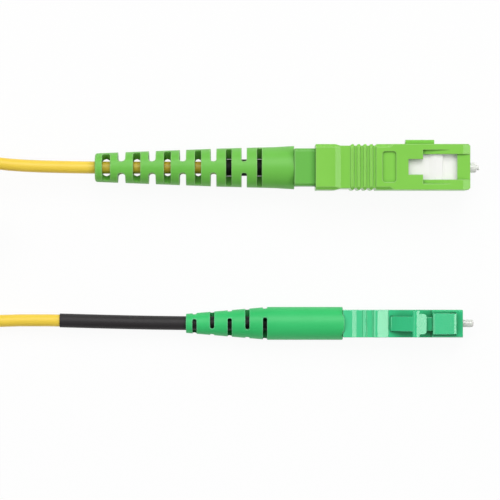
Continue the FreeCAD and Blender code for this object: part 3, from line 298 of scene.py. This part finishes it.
@dataclass(frozen=True)
class Finish:
    """A finish with its colours and surface values."""

    slot: Slot
    base: tuple[int, int, int]
    shade: tuple[int, int, int]
    rough: float
    rough_spread: float = 0.05
    # Painted highlight on raised edges: its strength and how far its tone goes towards white
    edge_highlight: float = 0.0
    highlight_white: float = 0.3
    edge_radius: float = 0.00008
    # Strength of the shade painted into hollows; it also thins the coat there
    hollow_shade: float = 0.0
    reach: float = 0.0012
    grain_scale: float = 9000.0
    grain_height: float = 0.000002
    metallic: float = 0.0
    coat: float = 0.0
    coat_rough: float = 0.1
    specular: float = 0.5
    skin: Skin = Skin.MOULDED

    def build(self, effects: Effects) -> bpy.types.Material:
        """Make the node material of this finish.

        Args:
            effects: Shared node groups.

        Returns:
            The material.
        """
        material = bpy.data.materials.new(self.slot.value)
        material.use_nodes = True
        graph = Graph(material.node_tree)
        shader = material.node_tree.nodes["Principled BSDF"]
        shader.inputs["Metallic"].default_value = self.metallic
        shader.inputs["Coat Weight"].default_value = 0.0
        shader.inputs["Coat Roughness"].default_value = self.coat_rough
        shader.inputs["Specular IOR Level"].default_value = self.specular
        skin = graph.add("ShaderNodeGroup", node_tree=effects.skins[self.skin])
        skin.inputs["Grain Scale"].default_value = self.grain_scale
        edge = graph.add("ShaderNodeGroup", node_tree=effects.edge)
        edge.inputs["Radius"].default_value = self.edge_radius
        edge.inputs["Reach"].default_value = self.reach
        self.colour(graph, shader, skin, edge)
        if self.coat:
            fall = -self.coat * self.hollow_shade
            shut = graph.math("MULTIPLY_ADD", edge.outputs["Hollow"], fall, self.coat)
            graph.join(shut, shader.inputs["Coat Weight"])
        rough = graph.add("ShaderNodeMapRange")
        rough.inputs["To Min"].default_value = self.rough - self.rough_spread
        rough.inputs["To Max"].default_value = self.rough + self.rough_spread
        graph.join(skin.outputs["Cloud"], rough.inputs["Value"])
        graph.join(rough.outputs["Result"], shader.inputs["Roughness"])
        bump = graph.add("ShaderNodeBump")
        bump.inputs["Strength"].default_value = BUMP_STRENGTH
        bump.inputs["Distance"].default_value = self.grain_height
        graph.join(skin.outputs["Height"], bump.inputs["Height"])
        graph.join(edge.outputs["Normal"], bump.inputs["Normal"])
        graph.join(bump.outputs["Normal"], shader.inputs["Normal"])
        return material

    def colour(self, graph: Graph, shader: Node, skin: Node, edge: Node) -> None:
        """Mix the two tones by the skin's clouds, paint a highlight on the raised edges and paint shade
        into the hollows.

        Args:
            graph: The material's graph.
            shader: Shader that takes the colour.
            skin: Group node with the clouds.
            edge: Group node with the edge and hollow masks.
        """
        span = graph.add("ShaderNodeMapRange")
        span.inputs["From Min"].default_value = TONE_FROM
        span.inputs["From Max"].default_value = TONE_TO
        graph.join(skin.outputs["Cloud"], span.inputs["Value"])
        tone = graph.add("ShaderNodeMix", data_type="RGBA")
        tone.inputs[MIX_FIRST].default_value = linear(*self.shade)
        tone.inputs[MIX_SECOND].default_value = linear(*self.base)
        graph.join(span.outputs["Result"], tone.inputs[MIX_SHARE])
        # Painted highlight: raised edges lighten towards a paler copy of the base
        highlighted = graph.add("ShaderNodeMix", data_type="RGBA")
        highlight_tone = [int(level + (255 - level) * self.highlight_white) for level in self.base]
        highlighted.inputs[MIX_SECOND].default_value = linear(*highlight_tone)
        highlight_share = graph.math("MULTIPLY", edge.outputs["Edge"], self.edge_highlight)
        graph.join(highlight_share, highlighted.inputs[MIX_SHARE])
        graph.join(tone.outputs[MIX_RESULT], highlighted.inputs[MIX_FIRST])
        # Painted shade: the colour darkens towards the squared tone where the surface is hollow
        painted_shade_mix = graph.add("ShaderNodeMix", data_type="RGBA")
        painted_shade_mix.inputs[MIX_SECOND].default_value = self.painted_shade_tone()
        painted_shade_share = graph.math("MULTIPLY", edge.outputs["Hollow"], self.hollow_shade)
        graph.join(painted_shade_share, painted_shade_mix.inputs[MIX_SHARE])
        graph.join(highlighted.outputs[MIX_RESULT], painted_shade_mix.inputs[MIX_FIRST])
        graph.join(painted_shade_mix.outputs[MIX_RESULT], shader.inputs["Base Color"])

    def painted_shade_tone(self) -> tuple[float, float, float, float]:
        """Painted shade for the hollows, standing in for light that meets the surface twice there: the
        base squared and dimmed.
        """
        red, green, blue, alpha = linear(*self.base)
        return (PAINTED_SHADE_SHARE * red ** 2, PAINTED_SHADE_SHARE * green ** 2, PAINTED_SHADE_SHARE * blue ** 2, alpha)


FINISHES = (
    Finish(Slot.PUSH_PULL_GREEN, (138, 216, 80), (134, 212, 76), 0.3, edge_highlight=0.7, highlight_white=0.25,
           edge_radius=0.00018, hollow_shade=0.65, reach=0.0006),
    Finish(Slot.PUSH_PULL_BOOT, (117, 202, 80), (112, 197, 76), 0.43, edge_highlight=0.9, highlight_white=0.28,
           edge_radius=0.0003, hollow_shade=0.8, specular=0.36),
    Finish(Slot.FRAME_WHITE, (255, 254, 252), (252, 251, 248), 0.35),
    Finish(Slot.LATCHED_GREEN, (50, 211, 142), (46, 207, 137), 0.26, edge_highlight=0.7, highlight_white=0.28,
           hollow_shade=1.0, reach=0.0025, coat=0.8, coat_rough=0.05),
    Finish(Slot.LATCHED_BOOT, (60, 208, 118), (54, 202, 112), 0.43, edge_highlight=0.9, highlight_white=0.28,
           edge_radius=0.0003, hollow_shade=0.8, specular=0.36),
    Finish(Slot.ZIRCONIA, (253, 253, 249), (249, 249, 244), 0.22, coat=0.3, skin=Skin.TURNED),
    Finish(Slot.PLATED, (200, 198, 192), (186, 184, 178), 0.28, metallic=1.0, skin=Skin.TURNED),
    Finish(Slot.CRIMP, (208, 208, 206), (192, 192, 190), 0.34, metallic=1.0, skin=Skin.TURNED),
    Finish(Slot.SPRING, (190, 190, 188), (176, 176, 174), 0.26, metallic=1.0, skin=Skin.TURNED),
    Finish(Slot.INNER_SLEEVE, (20, 24, 18), (17, 20, 15), 0.6, specular=0.3),
    Finish(Slot.SHRINK_TUBE, (46, 43, 45), (42, 39, 41), 0.55, hollow_shade=0.9, specular=0.4),
    Finish(Slot.BUFFER, (238, 238, 232), (230, 230, 222), 0.35),
    Finish(Slot.JACKET, (255, 220, 74), (252, 214, 66), 0.42, hollow_shade=0.6),
    Finish(Slot.TIE, (36, 36, 37), (27, 27, 28), 0.8, grain_scale=3500.0, grain_height=0.00005,
           specular=0.3),
)


@dataclass(frozen=True)
class Tint:
    """A moulding painted with a lighter or darker copy of its slot's tones."""

    node: str
    slot: Slot
    base: tuple[int, int, int]
    shade: tuple[int, int, int]
    hollow_shade: float


TINTS = (
    # Painted shade: the rear body is darker, as it lies in shade between boot and housing
    Tint("sc_rear_body", Slot.PUSH_PULL_BOOT, (108, 193, 76), (104, 188, 72), 0.8),
    # Painted light: the rear housing is lighter, standing in for the soft boxes' sheen on it, with less
    # shade in its hollows
    Tint("lc_rear_housing", Slot.LATCHED_GREEN, (74, 220, 152), (70, 216, 147), 0.4),
    # The ferrule is given a greyer copy of the zirconia tones, with no shade in its hollows
    Tint("lc_ferrule", Slot.ZIRCONIA, (240, 238, 234), (235, 233, 228), 0.0),
)


class Paint:
    """All finishes as materials, put on by slot."""

    def __init__(self) -> None:
        """Build the materials."""
        effects = Effects()
        self.materials = {finish.slot: finish.build(effects) for finish in FINISHES}
        plain = {finish.slot: finish for finish in FINISHES}
        self.tints = {}
        for tint in TINTS:
            finish = replace(plain[tint.slot], base=tint.base, shade=tint.shade, hollow_shade=tint.hollow_shade)
            self.tints[tint.node] = finish.build(effects)

    def put(self, obj: bpy.types.Object, slot: Slot) -> None:
        """Give an object one finish."""
        obj.data.materials.clear()
        obj.data.materials.append(self.materials[slot])

    def dress_nodes(self) -> None:
        """Give every CAD node the finish of its record slot."""
        for row in frame["record"]["subparts"]:
            node = frame["nodes"][row["node"]]
            self.put(node, Slot(row["material_slot"]))
            if row["node"] in self.tints:
                node.data.materials[0] = self.tints[row["node"]]
            LOG.info("node %s dressed as %s", row["node"], row["material_slot"])


@dataclass(frozen=True)
class Rounding:
    """Rounded moulding edges of one CAD node, laid on by modifiers."""

    node: str
    radius: float
    segments: int = 2
    sharp_from: float = 32.0
    flat_below: float = 0.5
    join_within: float = 0.001

    def lay(self) -> None:
        """Join the node's faces and round its sharp edges."""
        obj = frame["nodes"][self.node]
        weld = obj.modifiers.new("weld", "WELD")
        weld.merge_threshold = self.join_within * MM
        flat = obj.modifiers.new("flat", "DECIMATE")
        flat.decimate_type = "DISSOLVE"
        flat.angle_limit = math.radians(self.flat_below)
        bevel = obj.modifiers.new("edges", "BEVEL")
        bevel.width = self.radius * MM
        bevel.segments = self.segments
        bevel.limit_method = "ANGLE"
        bevel.angle_limit = math.radians(self.sharp_from)
        bevel.use_clamp_overlap = True
        normals = obj.modifiers.new("normals", "WEIGHTED_NORMAL")
        normals.keep_sharp = True
        LOG.info("edges of %s rounded by %.2f mm", self.node, self.radius)


class Grower:
    """Geometry node trees of this object, and the way they become plain meshes."""

    TURN_POINTS: float = 24.0
    WIRE_SIDES: int = 10
    STRAND_SIDES: int = 24
    CLOSED_TURNS: float = 2.0
    STRAP_SOFTNESS: float = 0.3
    STRAP_ARC: int = 3

    def __init__(self) -> None:
        """Build the trees."""
        self.spring = self.spring_tree()
        self.strand = self.strand_tree()
        self.band = self.band_tree()

    def new_tree(self, name: str, sizes: dict[str, float], places: list[str]) -> Graph:
        """Make a geometry tree with number, place and finish inputs.

        Args:
            name: Tree name.
            sizes: Default value of each size input.
            places: Names of the vector inputs.

        Returns:
            The tree's graph.
        """
        tree = bpy.data.node_groups.new(name, "GeometryNodeTree")
        tree.interface.new_socket("Geometry", in_out="OUTPUT", socket_type="NodeSocketGeometry")
        tree.interface.new_socket("Geometry", in_out="INPUT", socket_type="NodeSocketGeometry")
        for label, value in sizes.items():
            socket = tree.interface.new_socket(label, in_out="INPUT", socket_type="NodeSocketFloat")
            socket.default_value = value
        for label in places:
            tree.interface.new_socket(label, in_out="INPUT", socket_type="NodeSocketVector")
        tree.interface.new_socket("Finish", in_out="INPUT", socket_type="NodeSocketMaterial")
        return Graph(tree)

    def round_bar(self, graph: Graph, entry: Node, path: Socket, radius: Socket, sides: int) -> None:
        """Sweep a round section along a path and end the tree.

        Args:
            graph: The tree's graph.
            entry: Group input node.
            path: Curve to follow.
            radius: Section radius.
            sides: Sides of the section.
        """
        ring = graph.add("GeometryNodeCurvePrimitiveCircle")
        ring.inputs["Resolution"].default_value = sides
        graph.join(radius, ring.inputs["Radius"])
        self.sweep(graph, entry, path, ring.outputs["Curve"])

    def sweep(self, graph: Graph, entry: Node, path: Socket, section: Socket) -> None:
        """Sweep a section along a path and end the tree in its finish.

        Args:
            graph: The tree's graph.
            entry: Group input node.
            path: Curve to follow.
            section: Closed curve of the section.
        """
        sweep = graph.add("GeometryNodeCurveToMesh")
        sweep.inputs["Fill Caps"].default_value = True
        graph.join(path, sweep.inputs["Curve"])
        graph.join(section, sweep.inputs["Profile Curve"])
        real = graph.add("GeometryNodeRealizeInstances")
        coat = graph.add("GeometryNodeSetMaterial")
        leave = graph.add("NodeGroupOutput")
        graph.join(sweep.outputs["Mesh"], real.inputs["Geometry"])
        graph.join(real.outputs["Geometry"], coat.inputs["Geometry"])
        graph.join(entry.outputs["Finish"], coat.inputs["Material"])
        graph.join(coat.outputs["Geometry"], leave.inputs["Geometry"])

    def spring_tree(self) -> Tree:
        """Build the tree of a compression spring along X with closed end turns.

        Returns:
            Tree with the inputs Wire, Mean Radius, Length, Turns, Start and Finish.
        """
        sizes = {"Wire": 0.0004, "Mean Radius": 0.0017, "Length": 0.005, "Turns": 6.0}
        graph = self.new_tree("wire_spring", sizes, ["Start"])
        entry = graph.add("NodeGroupInput")
        wire = entry.outputs["Wire"]
        turns = entry.outputs["Turns"]
        line = graph.add("GeometryNodeCurvePrimitiveLine")
        fine = graph.add("GeometryNodeResampleCurve")
        graph.join(line.outputs["Curve"], fine.inputs["Curve"])
        graph.join(graph.math("MULTIPLY", turns, self.TURN_POINTS), fine.inputs["Count"])
        share = graph.add("GeometryNodeSplineParameter").outputs["Factor"]
        height = graph.math("SUBTRACT", entry.outputs["Length"], wire)
        wound = graph.math("MULTIPLY", share, turns)
        first = graph.math("MULTIPLY", wire, wound)
        closed = graph.math("MULTIPLY", wire, self.CLOSED_TURNS)
        pitch = graph.math("DIVIDE", graph.math("SUBTRACT", height, closed),
                           graph.math("SUBTRACT", turns, self.CLOSED_TURNS))
        middle = graph.math("MULTIPLY_ADD", graph.math("SUBTRACT", wound, 1.0), pitch, wire)
        left = graph.math("SUBTRACT", turns, wound)
        last = graph.math("SUBTRACT", height, graph.math("MULTIPLY", wire, left))
        rise = graph.math("MINIMUM", graph.math("MAXIMUM", first, middle), last)
        angle = graph.math("MULTIPLY", wound, 2 * math.pi)
        spot = graph.add("ShaderNodeCombineXYZ")
        graph.join(graph.math("MULTIPLY_ADD", wire, 0.5, rise), spot.inputs["X"])
        for axis, turn in (("Y", "COSINE"), ("Z", "SINE")):
            swing = graph.math("MULTIPLY", graph.math(turn, angle), entry.outputs["Mean Radius"])
            graph.join(swing, spot.inputs[axis])
        place = graph.add("ShaderNodeVectorMath", operation="ADD")
        graph.join(spot.outputs["Vector"], place.inputs[0])
        graph.join(entry.outputs["Start"], place.inputs[1])
        move = graph.add("GeometryNodeSetPosition")
        graph.join(fine.outputs["Curve"], move.inputs["Geometry"])
        graph.join(place.outputs["Vector"], move.inputs["Position"])
        wire_radius = graph.math("MULTIPLY", wire, 0.5)
        self.round_bar(graph, entry, move.outputs["Geometry"], wire_radius, self.WIRE_SIDES)
        return graph.tree

    def strand_tree(self) -> Tree:
        """Build the tree of a straight round strand.

        Returns:
            Tree with the inputs Radius, Start, End and Finish.
        """
        graph = self.new_tree("strand", {"Radius": 0.00045}, ["Start", "End"])
        entry = graph.add("NodeGroupInput")
        line = graph.add("GeometryNodeCurvePrimitiveLine")
        graph.join(entry.outputs["Start"], line.inputs["Start"])
        graph.join(entry.outputs["End"], line.inputs["End"])
        self.round_bar(graph, entry, line.outputs["Curve"], entry.outputs["Radius"], self.STRAND_SIDES)
        return graph.tree

    def band_tree(self) -> Tree:
        """Build the tree of a flat band with soft edges along closed loops.

        Returns:
            Tree with the inputs Geometry, Width, Thickness and Finish.
        """
        graph = self.new_tree("strap_band", {"Width": 0.004, "Thickness": 0.0005}, [])
        entry = graph.add("NodeGroupInput")
        path = graph.add("GeometryNodeMeshToCurve")
        graph.join(entry.outputs["Geometry"], path.inputs["Mesh"])
        strip = graph.add("GeometryNodeCurvePrimitiveQuadrilateral")
        graph.join(entry.outputs["Width"], strip.inputs["Width"])
        graph.join(entry.outputs["Thickness"], strip.inputs["Height"])
        soft = graph.add("GeometryNodeFilletCurve", mode="POLY")
        soft.inputs["Count"].default_value = self.STRAP_ARC
        graph.join(strip.outputs["Curve"], soft.inputs["Curve"])
        softness = graph.math("MULTIPLY", entry.outputs["Thickness"], self.STRAP_SOFTNESS)
        graph.join(softness, soft.inputs["Radius"])
        self.sweep(graph, entry, path.outputs["Curve"], soft.outputs["Curve"])
        return graph.tree

    def grow(self, name: str, tree: Tree, values: dict[str, object],
             loops: tuple[list[Vector], ...] = ()) -> bpy.types.Object:
        """Run a tree with its values and keep the result as a plain mesh.

        Args:
            name: Piece name.
            tree: Geometry tree.
            values: Input values by name.
            loops: Closed loops that the tree follows, if it follows any.

        Returns:
            The piece.
        """
        paths = bpy.data.meshes.new(name)
        points: list[Vector] = []
        edges: list[tuple[int, int]] = []
        for loop in loops:
            first = len(points)
            points += loop
            edges += [(first + spot, first + (spot + 1) % len(loop)) for spot in range(len(loop))]
        paths.from_pydata(points, edges, [])
        piece = bpy.data.objects.new(name, paths)
        bpy.context.scene.collection.objects.link(piece)
        grower = piece.modifiers.new("grow", "NODES")
        grower.node_group = tree
        for item in tree.interface.items_tree:
            if item.name in values:
                grower[item.identifier] = values[item.name]
        depsgraph = bpy.context.evaluated_depsgraph_get()
        mesh = bpy.data.meshes.new_from_object(piece.evaluated_get(depsgraph))
        piece.modifiers.remove(grower)
        piece.data = mesh
        mesh.shade_smooth()
        return piece


@dataclass(frozen=True)
class WireSpring:
    """Ferrule spring of one plug: sizes in millimetres, its rear end and the joint that presses it."""

    name: str
    node: str
    wire: float
    mean: float
    length: float
    turns: float
    rear: Point
    joint: str
    travel: float

    def build(self, grower: Grower, paint: Paint) -> None:
        """Wind the spring and attach it to the cord's body."""
        piece = grower.grow(self.name, grower.spring, {
            "Wire": self.wire * MM, "Mean Radius": self.mean / 2 * MM, "Length": self.length * MM,
            "Turns": self.turns, "Start": Vector(self.rear) * MM, "Finish": paint.materials[Slot.SPRING]})
        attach(piece, Body.CORD.value)
        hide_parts(self.node)
        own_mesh(piece)
        LOG.info("spring %s of %d faces", self.name, len(piece.data.polygons))


@dataclass(frozen=True)
class BufferedFibre:
    """Buffered fibre of one plug: sizes in millimetres, its rear end and the joint that pushes it."""

    name: str
    node: str
    diameter: float
    length: float
    rear: Point
    joint: str
    travel: float

    def build(self, grower: Grower, paint: Paint) -> None:
        """Draw the fibre and attach it to the cord's body."""
        rear = Vector(self.rear) * MM
        front = rear + Vector((self.length * MM, 0, 0))
        piece = grower.grow(self.name, grower.strand, {
            "Radius": self.diameter / 2 * MM, "Start": rear, "End": front,
            "Finish": paint.materials[Slot.BUFFER]})
        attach(piece, Body.CORD.value)
        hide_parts(self.node)
        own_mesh(piece)
        LOG.info("fibre %s of %d faces", self.name, len(piece.data.polygons))


@dataclass
class Plug:
    """One plug: rounded mouldings, spring and fibre."""

    roundings: tuple[Rounding, ...]
    spring: WireSpring
    fibre: BufferedFibre

    def build(self, grower: Grower, paint: Paint) -> None:
        """Finish the plug's mouldings and make its inner pieces."""
        for rounding in self.roundings:
            rounding.lay()
        self.spring.build(grower, paint)
        self.fibre.build(grower, paint)


@dataclass
class PushPullPlug(Plug):
    """Square push-pull plug."""

    roundings: tuple[Rounding, ...] = (Rounding("sc_plug_frame", 0.08), Rounding("sc_rear_body", 0.1))
    spring: WireSpring = WireSpring(
        "sc_wire_spring", "sc_spring", wire=0.4, mean=3.4, length=4.92, turns=6.0,
        rear=(17.36, 11.835, 4.5), joint="sc_ferrule_push", travel=1.5)
    fibre: BufferedFibre = BufferedFibre(
        "sc_buffered_fibre", "sc_fibre", diameter=0.9, length=22.96,
        rear=(-0.88, 11.835, 4.5), joint="sc_ferrule_push", travel=1.5)


@dataclass
class LatchedPlug(Plug):
    """Small latched plug."""

    roundings: tuple[Rounding, ...] = (
        Rounding("lc_rear_housing", 0.06), Rounding("lc_latch", 0.08), Rounding("lc_trigger", 0.08))
    spring: WireSpring = WireSpring(
        "lc_wire_spring", "lc_spring", wire=0.28, mean=2.3, length=3.32, turns=6.0,
        rear=(21.35, -13.635, 2.7), joint="lc_ferrule_push", travel=1.0)
    fibre: BufferedFibre = BufferedFibre(
        "lc_buffered_fibre", "lc_fibre", diameter=0.9, length=18.16,
        rear=(6.91, -13.635, 2.7), joint="lc_ferrule_push", travel=1.0)


@dataclass
class CoiledCord:
    """The jacketed cable: a lead from each plug and the tied coil between them.

    Sizes are in millimetres, apart from the cord's length in metres, and angles in degrees.
    """

    diameter: float = 2.0
    length: float = 1.0
    centre: tuple[float, float] = (-62.0, 0.2)
    steps: int = 16
    lanes: list[tuple[float, float]] = field(default_factory=lambda: [
        (14.0, 6.75), (12.0, 6.75), (10.0, 6.75), (9.0, 5.01), (11.0, 5.01), (13.0, 5.01),
        (14.0, 3.28), (12.0, 3.28), (10.0, 3.28), (9.0, 1.55), (11.0, 1.55), (13.0, 1.55), (15.0, 1.55)])
    push_pull_lead: list[Point] = field(default_factory=lambda: [
        (-0.88, 11.835, 4.5), (-18.0, 11.835, 4.5), (-30.88, 11.835, 4.5), (-44.0, 12.235, 5.2),
        (-54.0, 14.2, 6.75), (-59.2, 14.2, 6.75)])
    latched_lead: list[Point] = field(default_factory=lambda: [
        (-59.0, -14.8, 1.55), (-54.0, -14.8, 1.55), (-45.5, -12.855, 2.3), (-16.59, -13.635, 2.7),
        (6.91, -13.635, 2.7)])
    jog_start: float = 155.0
    jog_end: float = 205.0
    wind_start: float = 90.0
    lead_turns: float = 1.5
    round_steps: int = 6
    path_steps: int = 5
    strap_thick: float = 0.5
    strap_gap: float = 0.05
    hole: float = 8.0
    strap_bends: tuple[float, float] = (2.4, 1.5)
    strap_steps: int = 36

    def coil_points(self) -> list[Point]:
        """Work out the coil's control points, turn by turn from the first lane to the last.

        Returns:
            Points in millimetres.
        """
        reach = 1.0 / math.cos(math.pi / self.steps)
        points = []
        for step in range(int(self.turns() * self.steps)):
            angle = self.wind_start + (step + 0.5) * 360.0 / self.steps
            radius, height = self.spot(angle)
            points.append(self.place(angle, radius * reach, height))
        return points

    def turns(self) -> float:
        """Turns of the coil from the first lead to the last."""
        return len(self.lanes) - self.lead_turns

    def place(self, angle: float, radius: float, height: float) -> Point:
        """Point at an angle round the coil's centre."""
        turn = math.radians(angle)
        across, along = self.centre
        return (across + radius * math.cos(turn), along + radius * math.sin(turn), height)

    def spot(self, angle: float) -> tuple[float, float]:
        """Find the cable's radius and height at a running angle.

        Args:
            angle: Degrees wound so far, counted on from the first lead.

        Returns:
            Radius and height of the cable's middle.
        """
        lane, share = self.lane_at(angle)
        near = self.lanes[lane]
        far = self.lanes[min(lane + 1, len(self.lanes) - 1)]
        return (near[0] + (far[0] - near[0]) * share, near[1] + (far[1] - near[1]) * share)

    def lane_at(self, angle: float) -> tuple[int, float]:
        """Find the lane at a running angle, and how far the cable has moved over to the next one.

        Args:
            angle: Degrees wound so far, counted on from the first lead.

        Returns:
            Lane number and share of the move, from 0 to 1.
        """
        turn, rest = divmod(angle, 360.0)
        if rest <= self.jog_start:
            return int(turn), 0.0
        share = min(1.0, (rest - self.jog_start) / (self.jog_end - self.jog_start))
        return int(turn), share

    def strap_loop(self, near: float, far: float, low: float, high: float) -> list[Vector]:
        """Bend a strap's middle line round the bundle, wider at the top than where it lies flat.

        Args:
            near: Side of the loop at the coil's hole, in metres along X.
            far: Side of the loop outside the coil.
            low: Underside of the loop.
            high: Top of the loop.

        Returns:
            Closed loop in metres.
        """
        top, bottom = (bend * MM for bend in self.strap_bends)
        corners = []
        for level, bend, inward in ((high, top, -1), (low, bottom, 1)):
            for edge, way in ((near, 1), (far, -1)):
                corners.append((edge + way * bend, level + inward * bend, bend))
        loop = []
        for step in range(self.strap_steps):
            tilt = math.pi / 2 + 2 * math.pi * step / self.strap_steps
            out, rise = math.cos(tilt), math.sin(tilt)
            reaches = [along * out + up * rise + bend for along, up, bend in corners]
            along, up, bend = corners[reaches.index(max(reaches))]
            loop.append(Vector((along + bend * out, self.centre[1] * MM, up + bend * rise)))
        return loop

    def straps(self, grower: Grower, paint: Paint) -> bpy.types.Object:
        """Make the two straps that hold the coil.

        Args:
            grower: Geometry trees.
            paint: Finishes.

        Returns:
            Both straps as one piece.
        """
        least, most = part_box("coil_ties")
        width = most[1] - least[1]
        inset = self.strap_thick / 2 * MM
        middle = self.centre[0] * MM
        low, high = least[2] + inset, most[2] - inset
        reach = most[0] - middle - inset
        hole = math.sqrt((self.hole * MM) ** 2 - (width / 2) ** 2) - self.strap_gap * MM - inset
        loops = (self.strap_loop(middle + hole, middle + reach, low, high),
                 self.strap_loop(middle - reach, middle - hole, low, high))
        values = {"Width": width, "Thickness": self.strap_thick * MM, "Finish": paint.materials[Slot.TIE]}
        piece = grower.grow("coil_straps", grower.band, values, loops)
        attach(piece, Body.CORD.value)
        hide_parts("coil_ties")
        LOG.info("straps of %d faces", len(piece.data.polygons))
        return piece

    def build(self, grower: Grower, paint: Paint) -> None:
        route = metres(self.push_pull_lead + self.coil_points() + self.latched_lead)
        curve = bpy.data.curves.new("cable", "CURVE")
        curve.dimensions = "3D"
        curve.bevel_depth = self.diameter / 2 * MM
        curve.bevel_resolution = self.round_steps
        curve.resolution_u = self.path_steps
        curve.use_fill_caps = True
        spline = curve.splines.new("NURBS")
        spline.points.add(len(route) - 1)
        for knot, point in zip(spline.points, route):
            knot.co = (*point, 1.0)
        spline.order_u = 3
        spline.use_endpoint_u = True
        cord = bpy.data.objects.new("cable", curve)
        bpy.context.scene.collection.objects.link(cord)
        paint.put(cord, Slot.JACKET)
        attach(cord, Body.CORD.value)
        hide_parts("cable_sc_lead", "cable_lc_lead", "cable_coil")
        carried = [self.straps(grower, paint), frame["nodes"]["lc_shrink_tube"]]
        LOG.info("cable of %d control points", len(route))


@dataclass(frozen=True)
class SoftBox:
    """One soft light: where it stands in millimetres, its side in metres and its brightness."""

    name: str
    place: Point
    size: float
    radiance: float

    def build(self) -> None:
        """Hang the light and turn it to the object."""
        data = bpy.data.lights.new(self.name, "AREA")
        data.size = self.size
        data.energy = self.radiance * math.pi * self.size ** 2
        lamp = bpy.data.objects.new(self.name, data)
        lamp.location = Vector(self.place) * MM
        lamp.rotation_mode = "QUATERNION"
        lamp.rotation_quaternion = (-lamp.location).to_track_quat("-Z", "Y")
        bpy.context.scene.collection.objects.link(lamp)


@dataclass
class Studio:
    """Camera, floor and soft lights of the photograph; the floor and the camera's sight are in metres."""

    eye: Point = (-3.12, -1.61, 458.0)
    lens: float = 200.0
    sensor: float = 36.0
    sight: tuple[float, float] = (0.01, 10.0)
    floor_size: float = 3.0
    floor_white: float = 0.95
    floor_rough: float = 0.8
    floor_glow: float = 0.93
    room: float = 0.24
    lights: tuple[SoftBox, ...] = (
        SoftBox("back_box", (20.0, 365.0, 545.0), size=0.42, radiance=4.2),
        SoftBox("right_box", (385.0, 10.0, 475.0), size=0.22, radiance=4.6),
        SoftBox("left_box", (-410.0, 20.0, 440.0), size=0.35, radiance=1.9))

    def camera(self) -> None:
        """Place the camera straight above the object."""
        data = bpy.data.cameras.new("camera")
        data.lens = self.lens
        data.sensor_width = self.sensor
        data.clip_start, data.clip_end = self.sight
        eye = bpy.data.objects.new("camera", data)
        eye.location = Vector(self.eye) * MM
        bpy.context.scene.collection.objects.link(eye)
        bpy.context.scene.camera = eye

    def floor(self) -> None:
        """Lay a white floor that keeps a soft shadow."""
        half = self.floor_size / 2
        mesh = bpy.data.meshes.new("floor")
        corners = [(-half, -half, 0), (half, -half, 0), (half, half, 0), (-half, half, 0)]
        mesh.from_pydata(corners, [], [(0, 1, 2, 3)])
        floor = bpy.data.objects.new("floor", mesh)
        bpy.context.scene.collection.objects.link(floor)
        material = bpy.data.materials.new("floor_white")
        material.use_nodes = True
        graph = Graph(material.node_tree)
        shader = material.node_tree.nodes["Principled BSDF"]
        white = self.floor_white
        shader.inputs["Base Color"].default_value = (white, white, white, 1.0)
        shader.inputs["Roughness"].default_value = self.floor_rough
        glow = graph.add("ShaderNodeEmission")
        path = graph.add("ShaderNodeLightPath")
        seen = graph.math("MAXIMUM", path.outputs["Is Camera Ray"], path.outputs["Is Glossy Ray"])
        seen = graph.math("MAXIMUM", seen, path.outputs["Is Transmission Ray"])
        mix = graph.add("ShaderNodeMixShader")
        graph.join(graph.math("MULTIPLY", seen, self.floor_glow), mix.inputs[0])
        graph.join(shader.outputs["BSDF"], mix.inputs[1])
        graph.join(glow.outputs["Emission"], mix.inputs[2])
        graph.join(mix.outputs["Shader"], material.node_tree.nodes["Material Output"].inputs["Surface"])
        mesh.materials.append(material)

    def light(self) -> None:
        """Set the soft boxes and the even light of the room."""
        for box in self.lights:
            box.build()
        world = bpy.data.worlds.new("room")
        world.use_nodes = True
        sky = world.node_tree.nodes["Background"]
        sky.inputs["Color"].default_value = (1.0, 1.0, 1.0, 1.0)
        sky.inputs["Strength"].default_value = self.room
        bpy.context.scene.world = world

    def build(self) -> None:
        """Set up the whole studio."""
        self.camera()
        self.floor()
        self.light()
        bpy.context.scene.view_settings.view_transform = "Standard"


def main() -> None:
    """Dress the frame, make the plugs' and the cord's own pieces and set the studio."""
    logging.basicConfig(level=logging.INFO)
    paint = Paint()
    paint.dress_nodes()
    grower = Grower()
    PushPullPlug().build(grower, paint)
    LatchedPlug().build(grower, paint)
    CoiledCord().build(grower, paint)
    Studio().build()


if __name__ == "__main__":
    main()
